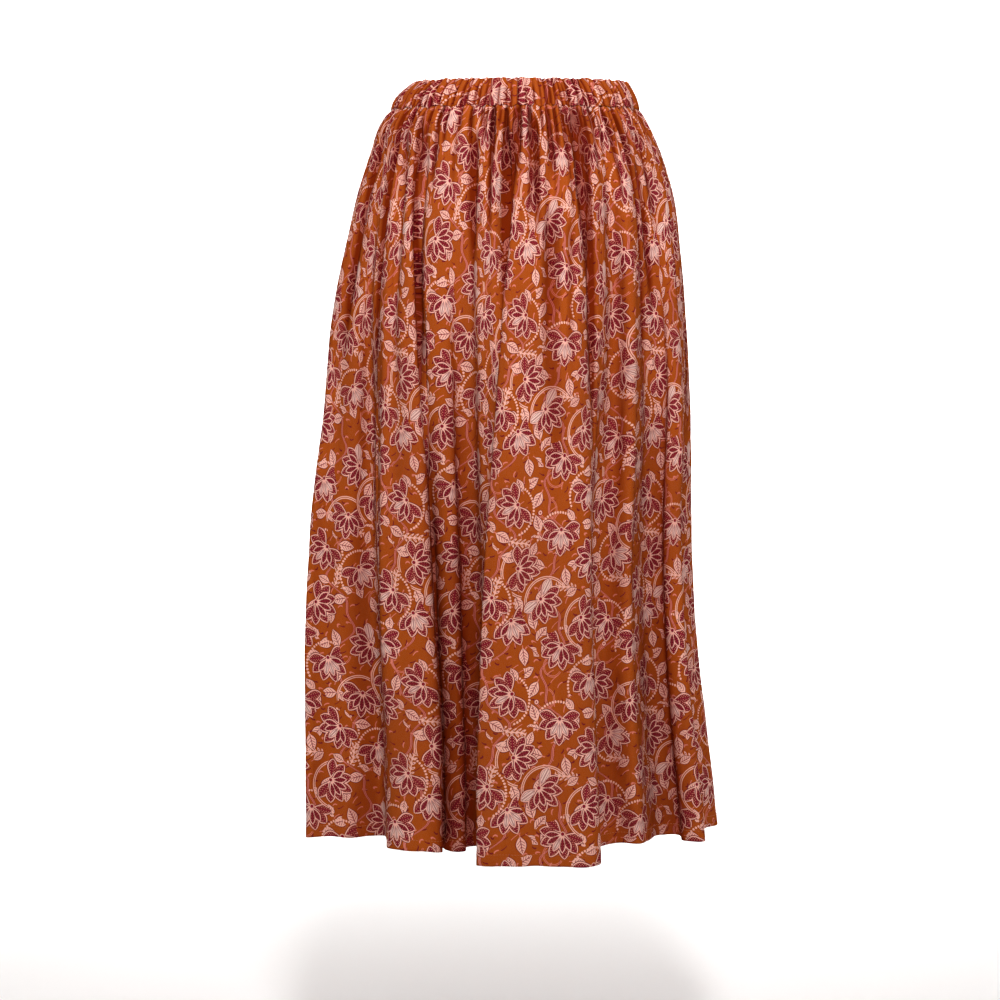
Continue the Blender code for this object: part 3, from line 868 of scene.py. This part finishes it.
# The arc curls round the foot, closer by so much for each radian, between two turns
ARC_RADIUS = 32.0
ARC_CLOSING = 2.0
ARC_TURNS = (1.35, 4.3)
ARC_LINES = (0.45, 1.45)
BEAD_PITCH = 0.125
BEAD_LENGTH = 3.9
BEAD_RADIUS = 1.35
LEAF_GROWTH = 0.24
LEAF_LEAST = 0.88
LEAF_FOOT = 8.0
LEAF_LENGTH = 16.5
LEAF_TAPER = 0.9
LEAF_WIDTH = 4.8
LEAF_RIM = 0.9
LEAF_CONTOUR = 0.8
LEAF_CONTOUR_ENDS = (0.05, 0.98)
VEIN_SLOPE = 0.9
VEIN_PITCH = 2.9
VEIN_SHARE = 0.24
MIDRIB = 0.38
STALK_ENDS = (-3.6, 0.4)
STALK_WIDTH = 0.5
TWIG_ENDS = (-13.0, 12.0)
TWIG_WAVE = 5.5
TWIG_BEND = 2.0
TWIG_LEAF_PITCH = 5.2
TWIG_LEAF_OUT = 2.4
TWIG_LEAF_LEAN = 0.16
TWIG_LEAF_STRETCH = (0.55, 5.0)
TWIG_LEAF_SIZE = 1.35
TWIG_LEAF_EYE = 0.5
TENDRIL_RADIUS = 10.5
TENDRIL_LINES = (0.35, 1.0)
TENDRIL_TURNS = (-2.4, 1.5)
BUD_RADIUS = 3.0
BUD_RING = (1.0, 2.3)
# A vine's bends: how many to a repeat and how wide
VINE_BENDS = ((2.0, 13.0), (5.0, 5.0))
VINE_WIDTH = 1.7
VINE_LINES = (0.3, 1.2)
# Ticks stand on a leaning grid that itself wavers
Ticks = namedtuple("Ticks", "slope spacing curve")
DARK_TICKS = Ticks(0.35, 7.5, -0.12)
PALE_TICKS = Ticks(0.6, 8.5, 0.11)
TICK_WAVER = 6.0
TICK_WAVES = (0.11, 0.13)
TICK_ROWS = 0.86
TICK_LENGTH = 0.38
THIN_LINE = 0.7


def as_light(channel):
    channel = channel / 255
    return channel / 12.92 if channel <= 0.0405 else ((channel + 0.055) / 1.055) ** 2.4


def paint(*channels):
    """A colour from the dyer's card, 0 to 255, as light."""
    return tuple(as_light(channel) for channel in channels)


GROUND = paint(168, 74, 6)
BURGUNDY = paint(106, 2, 28)
MAGENTA = paint(132, 10, 42)
CREAM = paint(255, 194, 176)
PETAL_WHITE = paint(255, 216, 202)
LILAC = paint(140, 60, 74)
PINK = paint(226, 128, 110)
RUSSET = paint(132, 36, 34)
DEEP_DYE = paint(120, 40, 18)
VALLEY_SHADE = (0.45, 0.23, 0.20)
WRONG_SIDE = paint(196, 138, 106)
THREAD = paint(186, 92, 40)


class Wiring:
    """Joins the nodes of one material, a step at a time."""

    def __init__(self, material):
        self.nodes = material.node_tree.nodes
        self.links = material.node_tree.links

    def feed(self, socket, value):
        if isinstance(value, bpy.types.NodeSocket):
            self.links.new(value, socket)
        elif socket.type == "RGBA":
            socket.default_value = (*value, 1.0)
        else:
            socket.default_value = value

    def sum(self, operation, *values):
        node = self.nodes.new("ShaderNodeMath")
        node.operation = operation
        for socket, value in zip(node.inputs, values):
            self.feed(socket, value)
        return node.outputs[0]

    def vector(self, operation, *values):
        node = self.nodes.new("ShaderNodeVectorMath")
        node.operation = operation
        for socket, value in zip(node.inputs, values):
            self.feed(socket, value)
        return node.outputs["Value"] if operation == "LENGTH" else node.outputs["Vector"]

    def choose(self, share, first, second, kind="RGBA"):
        node = self.nodes.new("ShaderNodeMix")
        node.data_type = kind
        first_socket, out = {"FLOAT": (2, 0), "VECTOR": (4, 1), "RGBA": (6, 2)}[kind]
        self.feed(node.inputs[0], share)
        self.feed(node.inputs[first_socket], first)
        self.feed(node.inputs[first_socket + 1], second)
        return node.outputs[out]

    def split(self, vector):
        node = self.nodes.new("ShaderNodeSeparateXYZ")
        self.feed(node.inputs[0], vector)
        return node.outputs[0], node.outputs[1], node.outputs[2]

    def join(self, x, y, z):
        node = self.nodes.new("ShaderNodeCombineXYZ")
        for socket, value in zip(node.inputs, (x, y, z)):
            self.feed(socket, value)
        return node.outputs[0]

    def both(self, first, second):
        return self.sum("MULTIPLY", first, second)

    def less(self, value, amount):
        return self.sum("SUBTRACT", value, amount)

    def slope(self, value, steepness, start):
        return self.sum("MULTIPLY_ADD", value, steepness, start)

    def size(self, value):
        return self.sum("ABSOLUTE", value)

    def above(self, value, low):
        return self.sum("GREATER_THAN", value, low)

    def below(self, value, high):
        return self.sum("LESS_THAN", value, high)

    def within(self, value, low, high):
        return self.both(self.above(value, low), self.below(value, high))

    def clamp(self, value, low=0.0, high=1.0):
        return self.sum("MINIMUM", self.sum("MAXIMUM", value, low), high)

    def opposite(self, share):
        return self.less(1.0, share)

    def part(self, value, pitch):
        """How far a value is through its step, 0 to 1, on steps of one pitch."""
        return self.sum("FRACT", self.sum("DIVIDE", value, pitch))

    def distance(self, x, y):
        return self.vector("LENGTH", self.join(x, y, 0.0))

    def lay(self, ground, dye, *masks):
        """Prints a dye over the ground where all of the masks hold."""
        mask = masks[0]
        for other in masks[1:]:
            mask = self.both(mask, other)
        return self.choose(mask, ground, dye)


def motif_under(wire, place, motifs, size, repeats=1):
    """The place within whichever motif covers it, turned the motif's way, and the motif's kind."""
    found = (NOWHERE, NOWHERE, 0.0)
    half = (repeats * REPEAT_ACROSS / 2, REPEAT_UP / 2, 1.0)
    for motif in motifs:
        code = (motif.kind + motif.turn / TURN_CODE) * CODE_STEP
        across = motif.across * REPEAT_ACROSS / CHART_ACROSS
        up = motif.up * REPEAT_UP / CHART_UP
        away = wire.vector("SUBTRACT", place, (across, up, -code))
        away = wire.vector("WRAP", away, half, tuple(-h for h in half))
        covered = wire.below(wire.vector("LENGTH", away), size)
        found = wire.choose(covered, found, away, "VECTOR")
    x, y, code = wire.split(found)
    code = wire.both(code, 1 / CODE_STEP)
    kind = wire.sum("FLOOR", code)
    node = wire.nodes.new("ShaderNodeVectorRotate")
    node.rotation_type = "Z_AXIS"
    wire.feed(node.inputs["Vector"], wire.join(x, y, 0.0))
    wire.feed(node.inputs["Angle"], wire.both(wire.less(code, kind), -math.radians(TURN_CODE)))
    x, y, _ = wire.split(node.outputs[0])
    return x, y, kind


Petals = namedtuple("Petals", "edge contour along across number")


def petal_fan(wire, out, turn, fan):
    """A fan of pointed petals: how far inside the edge, and where along and across its petal."""
    number = wire.sum("ROUND", wire.sum("DIVIDE", turn, fan.pitch))
    number = wire.clamp(number, -float(fan.most), float(fan.most))
    lean = wire.slope(number, -fan.pitch, turn)
    along = wire.both(out, wire.sum("COSINE", lean))
    across = wire.size(wire.both(out, wire.sum("SINE", lean)))
    number = wire.size(number)
    tip = wire.slope(number, -fan.shorter, fan.length - fan.gap)
    share = wire.clamp(wire.sum("DIVIDE", wire.less(along, fan.gap), tip))
    bulge = wire.sum("SINE", wire.both(wire.sum("POWER", share, PETAL_TAPER), math.pi))
    half = wire.both(wire.sum("POWER", wire.sum("MAXIMUM", bulge, 0.0), PETAL_ROUNDNESS), fan.width)
    edge = wire.less(half, across)
    contour = wire.both(wire.above(edge, -PETAL_CONTOUR), wire.within(share, *PETAL_CONTOUR_ENDS))
    return Petals(edge, contour, along, across, number)


def paint_petals(wire, ground, petals, pale, fan):
    """Lays a fan of petals over the ground: outline, fill, and stripes on pale ones or dots on dark."""
    dot_across = wire.part(wire.sum("ADD", petals.along, petals.across), DOT_PITCH)
    dot_along = wire.part(wire.less(petals.along, petals.across), DOT_PITCH)
    spot = wire.distance(wire.less(dot_across, 0.5), wire.less(dot_along, 0.5))
    dark = wire.lay(BURGUNDY, PINK, wire.below(spot, fan.dots))
    dark = wire.lay(dark, MAGENTA, wire.below(petals.across, wire.both(petals.edge, PETAL_HEART)))
    stripe = wire.below(wire.part(petals.across, STRIPE_PITCH), STRIPE_SHARE)
    rim = wire.below(petals.edge, PALE_RIM)
    light = wire.choose(wire.both(wire.sum("MAXIMUM", stripe, rim), LILAC_SHARE), PETAL_WHITE, LILAC)
    fill = wire.choose(pale, dark, light)
    fill = wire.lay(fill, CREAM, wire.below(petals.edge, fan.outline))
    ground = wire.lay(ground, BURGUNDY, petals.contour)
    return wire.lay(ground, fill, wire.above(petals.edge, 0.0))


def paint_flowers(wire, place, ground):
    x, y, kind = motif_under(wire, place, FLOWERS, FLOWER_SIZE, repeats=2)
    side = wire.slope(wire.sum("MODULO", kind, 2.0), -2.0, 1.0)

    # the beaded or doubled arc that curls round the foot of each flower
    turn = wire.sum("WRAP", wire.sum("ARCTAN2", wire.both(x, side), y), 2 * math.pi, 0.0)
    from_arc = wire.less(wire.slope(turn, ARC_CLOSING, wire.distance(x, y)), ARC_RADIUS)
    window = wire.within(turn, *ARC_TURNS)
    bead = wire.both(wire.less(wire.part(turn, BEAD_PITCH), 0.5), BEAD_LENGTH)
    bead = wire.below(wire.distance(bead, from_arc), BEAD_RADIUS)
    double = wire.within(wire.size(from_arc), *ARC_LINES)
    beaded = wire.below(kind, 1.5)
    ground = wire.lay(ground, CREAM, double, window, wire.opposite(beaded))
    ground = wire.lay(ground, CREAM, bead, window, beaded)

    # two fans of petals on one foot, the smaller in front
    foot = wire.sum("ADD", y, FOOT_DROP)
    out = wire.distance(x, foot)
    turn = wire.sum("ARCTAN2", x, foot)
    back = petal_fan(wire, out, turn, BACK_FAN)
    front = petal_fan(wire, out, turn, FRONT_FAN)
    back_pale = wire.both(wire.above(kind, 2.5), wire.above(back.number, 2.5))
    front_pale = wire.below(wire.sum("ADD", kind, front.number), 1.5)
    ground = paint_petals(wire, ground, back, back_pale, BACK_FAN)
    ground = paint_petals(wire, ground, front, front_pale, FRONT_FAN)
    ground = wire.lay(ground, CREAM, wire.below(out, FOOT_RING))
    return wire.lay(ground, MAGENTA, wire.below(out, FOOT_EYE))


def paint_leaves(wire, place, ground):
    x, y, kind = motif_under(wire, place, LEAVES, LEAF_SIZE)
    grow = wire.slope(kind, LEAF_GROWTH, LEAF_LEAST)
    across = wire.size(wire.both(x, grow))
    along = wire.sum("ADD", wire.both(y, grow), LEAF_FOOT)
    share = wire.clamp(wire.sum("DIVIDE", along, LEAF_LENGTH))
    half = wire.sum("SINE", wire.both(wire.sum("POWER", share, LEAF_TAPER), math.pi))
    edge = wire.less(wire.both(half, LEAF_WIDTH), across)
    vein = wire.part(wire.slope(across, -VEIN_SLOPE, along), VEIN_PITCH)
    vein = wire.sum("MAXIMUM", wire.below(vein, VEIN_SHARE), wire.below(across, MIDRIB))
    fill = wire.lay(CREAM, MAGENTA, vein, wire.above(edge, LEAF_RIM))
    contour = wire.both(wire.above(edge, -LEAF_CONTOUR), wire.within(share, *LEAF_CONTOUR_ENDS))
    ground = wire.lay(ground, BURGUNDY, contour)
    ground = wire.lay(ground, fill, wire.above(edge, 0.0))
    return wire.lay(ground, PINK, wire.within(along, *STALK_ENDS), wire.below(across, STALK_WIDTH))


def paint_sprigs(wire, place, ground):
    x, y, kind = motif_under(wire, place, SPRIGS, SPRIG_SIZE)
    twig = wire.both(wire.opposite(kind), wire.within(y, *TWIG_ENDS))
    bend = wire.slope(wire.sum("SINE", wire.sum("DIVIDE", y, TWIG_WAVE)), TWIG_BEND, x)
    from_stem = wire.size(bend)
    ground = wire.lay(ground, CREAM, wire.below(from_stem, THIN_LINE), twig)
    leaf_out = wire.less(from_stem, TWIG_LEAF_OUT)
    leaf_up = wire.less(wire.part(y, TWIG_LEAF_PITCH), 0.5)
    leaf_up = wire.slope(leaf_out, -TWIG_LEAF_LEAN, leaf_up)
    wide, long = TWIG_LEAF_STRETCH
    leaf = wire.distance(wire.both(leaf_out, wide), wire.both(leaf_up, long))
    ground = wire.lay(ground, CREAM, wire.below(leaf, TWIG_LEAF_SIZE), twig)
    ground = wire.lay(ground, MAGENTA, wire.below(leaf, TWIG_LEAF_EYE), twig)

    # the other kind is a curled tendril with a bud at its end
    from_curl = wire.size(wire.less(wire.distance(x, y), TENDRIL_RADIUS))
    turn = wire.within(wire.sum("ARCTAN2", x, y), *TENDRIL_TURNS)
    ground = wire.lay(ground, PINK, wire.within(from_curl, *TENDRIL_LINES), turn, kind)
    bud = wire.distance(wire.less(x, TENDRIL_RADIUS), y)
    ground = wire.lay(ground, MAGENTA, wire.below(bud, BUD_RADIUS), kind)
    return wire.lay(ground, CREAM, wire.within(bud, *BUD_RING), kind)


def paint_vines(wire, place, ground):
    """Thin double vines that wander up the cloth, two in each repeat."""
    x, y, _ = wire.split(place)
    turn = wire.both(y, 2 * math.pi / REPEAT_UP)
    for times, reach_across in VINE_BENDS:
        x = wire.slope(wire.sum("SINE", wire.both(turn, times)), -reach_across, x)
    apart = wire.size(wire.sum("WRAP", x, REPEAT_ACROSS / 4, -REPEAT_ACROSS / 4))
    ground = wire.lay(ground, RUSSET, wire.below(apart, VINE_WIDTH))
    return wire.lay(ground, PINK, wire.within(apart, *VINE_LINES))


def paint_ticks(wire, place, ground, ticks, dye):
    """Small curved strokes that fill the gaps between the larger motifs."""
    x, y, _ = wire.split(place)
    x = wire.slope(wire.sum("SINE", wire.both(y, TICK_WAVES[0])), TICK_WAVER, x)
    y = wire.slope(wire.sum("SINE", wire.both(x, TICK_WAVES[1])), TICK_WAVER, y)
    rise = math.sqrt(1.0 - ticks.slope**2)
    up = wire.slope(y, ticks.slope, wire.both(x, rise))
    across = wire.slope(x, -ticks.slope, wire.both(y, rise))
    up = wire.sum("WRAP", up, ticks.spacing, -ticks.spacing)
    across = wire.sum("WRAP", across, TICK_ROWS * ticks.spacing, -TICK_ROWS * ticks.spacing)
    bend = wire.size(wire.slope(wire.both(up, up), ticks.curve, across))
    short = wire.below(wire.size(up), TICK_LENGTH * ticks.spacing)
    return wire.lay(ground, dye, wire.below(bend, THIN_LINE), short)


def printed_colour(wire, place):
    """The colour of the print at a place on the flat cloth, in millimetres."""
    colour = paint_ticks(wire, place, GROUND, DARK_TICKS, BURGUNDY)
    colour = paint_ticks(wire, place, colour, PALE_TICKS, PINK)
    for paint_motifs in (paint_vines, paint_sprigs, paint_leaves, paint_flowers):
        colour = paint_motifs(wire, place, colour)
    return colour


# The cloth's own surface: how often its unevenness comes to a millimetre, across and up
DYE_PATCHES = (0.011, 0.008, 0.0)
THREADS = (1.5, 2.2, 0.0)
CRINKLES = (0.24, 0.018, 0.0)
DENTS = (0.030, 0.012, 0.0)
DEEP_PATCHES = (0.6, -0.12)
PALE_THREADS = 0.56
PALE_THREAD_SHARE = 0.05
WRONG_SIDE_SHARE = 0.62
# How steeply the valley shade comes in with the folds' shutting and with the pressing in
SHUT_SHADE = (1.5, -0.16)
PANEL_SHADE = (0.38, -0.25)
BAND_SHADE = (0.50, -0.10)
# Crinkles are highest at the top and fade over the first part of the skirt; the band has them all over
BAND_CRINKLES = 2.6
TOP_CRINKLES = 2.8
LEAST_CRINKLES = 0.35
CRINKLED_DROP = 0.20
DENT_HEIGHT = 1.6
THREAD_HEIGHT = 0.10


def plain(name, colour, roughness):
    material = bpy.data.materials.new(name)
    material.use_nodes = True
    shader = material.node_tree.nodes["Principled BSDF"]
    shader.inputs["Base Color"].default_value = (*colour, 1.0)
    shader.inputs["Roughness"].default_value = roughness
    return material, shader


def noise(wire, place, often, detail):
    node = wire.nodes.new("ShaderNodeTexNoise")
    node.inputs["Scale"].default_value = 1.0
    node.inputs["Detail"].default_value = detail
    wire.feed(node.inputs["Vector"], wire.vector("MULTIPLY", place, often))
    return node.outputs["Fac"]


def emboss(wire, shader, height, strength, distance):
    bump = wire.nodes.new("ShaderNodeBump")
    bump.inputs["Strength"].default_value = strength
    bump.inputs["Distance"].default_value = distance
    wire.feed(bump.inputs["Height"], height)
    wire.feed(shader.inputs["Normal"], bump.outputs["Normal"])


def attribute(wire, name):
    node = wire.nodes.new("ShaderNodeAttribute")
    node.attribute_name = name
    return node.outputs["Fac"]


def printed_viscose(name, wrong_side, gathered):
    """Soft matt woven cloth with the print, and on the right side painted shade in its creases and fold
    recesses: gathered cloth keeps the top's crinkles all over.
    """
    material, shader = plain(name, GROUND, 0.66)
    shader.inputs["Specular IOR Level"].default_value = 0.0
    shader.inputs["Sheen Weight"].default_value = 0.012
    shader.inputs["Sheen Tint"].default_value = (1.0, 0.5, 0.3, 1.0)
    shader.inputs["Sheen Roughness"].default_value = 0.4
    wire = Wiring(material)
    chart = wire.nodes.new("ShaderNodeUVMap")
    chart.uv_map = "cloth"
    place = wire.vector("MULTIPLY", chart.outputs["UV"], (1000.0, 1000.0, 0.0))

    # the dye is a little uneven, and the threads take it unevenly too
    colour = printed_colour(wire, place)
    patches = noise(wire, place, DYE_PATCHES, 2.0)
    colour = wire.choose(wire.slope(patches, *DEEP_PATCHES), colour, DEEP_DYE)
    threads = noise(wire, place, THREADS, 1.0)
    pale = wire.both(wire.above(threads, PALE_THREADS), PALE_THREAD_SHARE)
    colour = wire.choose(pale, colour, PETAL_WHITE)
    if wrong_side:
        colour = wire.choose(WRONG_SIDE_SHARE, colour, WRONG_SIDE)
    else:
        # painted shade: the colour is darkened towards VALLEY_SHADE where the gathers, creases and
        # puckers press the cloth in and where the folds shut it in
        recess = wire.slope(attribute(wire, "shut"), *SHUT_SHADE)
        valley = wire.slope(attribute(wire, "pressed"), *(BAND_SHADE if gathered else PANEL_SHADE))
        valley = wire.clamp(wire.sum("MAXIMUM", valley, recess))
        colour = wire.vector("MULTIPLY", colour, wire.choose(valley, (1.0, 1.0, 1.0), VALLEY_SHADE))
    wire.feed(shader.inputs["Base Color"], colour)

    # weave, small crinkles that run down the cloth, and finer gathers near the top
    if gathered:
        much = BAND_CRINKLES
    else:
        _, y, _ = wire.split(chart.outputs["UV"])
        near_top = wire.sum("MAXIMUM", wire.slope(y, 1 / CRINKLED_DROP, 1.0), 0.0)
        much = wire.slope(near_top, TOP_CRINKLES, LEAST_CRINKLES)
    height = wire.both(noise(wire, place, CRINKLES, 2.5), much)
    height = wire.slope(noise(wire, place, DENTS, 1.0), DENT_HEIGHT, height)
    height = wire.slope(threads, THREAD_HEIGHT, height)
    emboss(wire, shader, height, 0.8, 0.001)
    return material


def sewing_thread(name, colour):
    """Fine twisted thread."""
    material, shader = plain(name, colour, 0.55)
    shader.inputs["Sheen Weight"].default_value = 0.2
    wire = Wiring(material)
    where = wire.nodes.new("ShaderNodeTexCoord").outputs["Object"]
    ply = noise(wire, where, (5200.0, 5200.0, 2600.0), 1.0)
    shade = wire.choose(ply, tuple(0.7 * c for c in colour), tuple(1.15 * c for c in colour))
    wire.feed(shader.inputs["Base Color"], shade)
    emboss(wire, shader, ply, 0.5, 0.0001)
    return material


# What the gathers' chance starts from in each panel, and how its slow unevenness is shifted
FRONT_SEED = 11
BACK_SEED = 23
FRONT_PHASE = 0.7
BACK_PHASE = 2.9


def build_cloth():
    cloth = printed_viscose("printed viscose", wrong_side=False, gathered=False)
    wrong = printed_viscose("printed viscose, wrong side", wrong_side=True, gathered=False)
    band = printed_viscose("printed viscose, waistband", wrong_side=False, gathered=True)
    thread = sewing_thread("sewing thread", THREAD)
    front = Panel(FRONT_TURNS, BACK_TURNS[-1], BACK_TURNS[0])
    back = Panel(BACK_TURNS, FRONT_TURNS[-1], FRONT_TURNS[0])
    cloth_panel("skirt_front_cloth", front, FRONT_SEED, FRONT_CREASES, FRONT_PHASE, [cloth, wrong])
    cloth_panel("skirt_back_cloth", back, BACK_SEED, BACK_CREASES, BACK_PHASE, [cloth, wrong])
    hem_stitches("hem_stitches_front", front, FRONT_SEED, FRONT_CREASES, FRONT_PHASE, thread)
    hem_stitches("hem_stitches_back", back, BACK_SEED, BACK_CREASES, BACK_PHASE, thread)
    cloth_waistband(band)


# The studio: a paper sweep that curves up behind the floor, its lights, and the camera
FLOOR = -1.06
SWEEP_HALF_WIDTH = 7.0
SWEEP_FRONT = -7.0
SWEEP_BACK = 3.7
SWEEP_CURVE = 1.5
SWEEP_STEPS = 12
SWEEP_TOP = 4.0
PAPER = (0.93, 0.93, 0.93)
ROOM_LIGHT = (1.0, 0.87, 0.80, 1.0)
ROOM_STRENGTH = 0.22
Lamp = namedtuple("Lamp", "name place aim size power spread")
LAMPS = (
    Lamp("key light", (0.08, -2.4, 1.6), (0.02, 0.0, 0.0), 0.5, 8.0, 55.0),
    Lamp("broad front light", (0.0, -3.0, 1.3), (0.0, 0.0, -0.15), 2.6, 3.8, 70.0),
    Lamp("floor light", (0.0, 2.4, 2.6), (0.0, 2.4, FLOOR), 2.0, 44.0, 110.0),
    Lamp("paper light left", (-3.4, 2.4, 1.6), (-0.6, 5.0, -0.4), 1.8, 150.0, 120.0),
    Lamp("paper light right", (3.4, 2.4, 1.6), (0.6, 5.0, -0.4), 1.8, 150.0, 120.0),
)
CAMERA_PLACE = (-0.0184, -3.2, -0.195)
CAMERA_DIP = 4.265
SENSOR = 36.0
LENS_PER_WIDTH = 2.9632


def area_light(lamp):
    data = bpy.data.lights.new(lamp.name, "AREA")
    data.shape = "DISK"
    data.size = lamp.size
    data.energy = lamp.power
    data.spread = math.radians(lamp.spread)
    light = bpy.data.objects.new(lamp.name, data)
    light.location = lamp.place
    across, ahead, up = np.subtract(lamp.aim, lamp.place)
    light.rotation_euler = (
        math.atan2(math.hypot(across, ahead), -up),
        0.0,
        math.atan2(ahead, across) - math.pi / 2,
    )
    bpy.context.scene.collection.objects.link(light)


def build_studio():
    paper, _ = plain("pale floor", PAPER, 0.95)
    profile = [(SWEEP_FRONT, FLOOR)]
    for step in range(SWEEP_STEPS + 1):
        turn = math.pi / 2 * step / SWEEP_STEPS
        back = SWEEP_BACK + SWEEP_CURVE * math.sin(turn)
        profile.append((back, FLOOR + SWEEP_CURVE * (1 - math.cos(turn))))
    profile.append((SWEEP_BACK + SWEEP_CURVE, SWEEP_TOP))
    points = [(side * SWEEP_HALF_WIDTH, back, up) for back, up in profile for side in (-1, 1)]
    faces = [(2 * i, 2 * i + 1, 2 * i + 3, 2 * i + 2) for i in range(len(profile) - 1)]
    smooth_object("floor", points, faces, [paper])
    for lamp in LAMPS:
        area_light(lamp)
    world = bpy.data.worlds.new("studio")
    world.use_nodes = True
    room = world.node_tree.nodes["Background"]
    room.inputs["Color"].default_value = ROOM_LIGHT
    room.inputs["Strength"].default_value = ROOM_STRENGTH
    bpy.context.scene.world = world
    bpy.context.scene.view_settings.view_transform = "Standard"


def build_camera():
    data = bpy.data.cameras.new("camera")
    data.sensor_width = SENSOR
    data.lens = SENSOR * LENS_PER_WIDTH
    camera = bpy.data.objects.new("camera", data)
    camera.location = CAMERA_PLACE
    camera.rotation_euler = (math.radians(90.0 - CAMERA_DIP), 0.0, 0.0)
    bpy.context.scene.collection.objects.link(camera)
    bpy.context.scene.camera = camera


build_camera()
build_cloth()
build_studio()
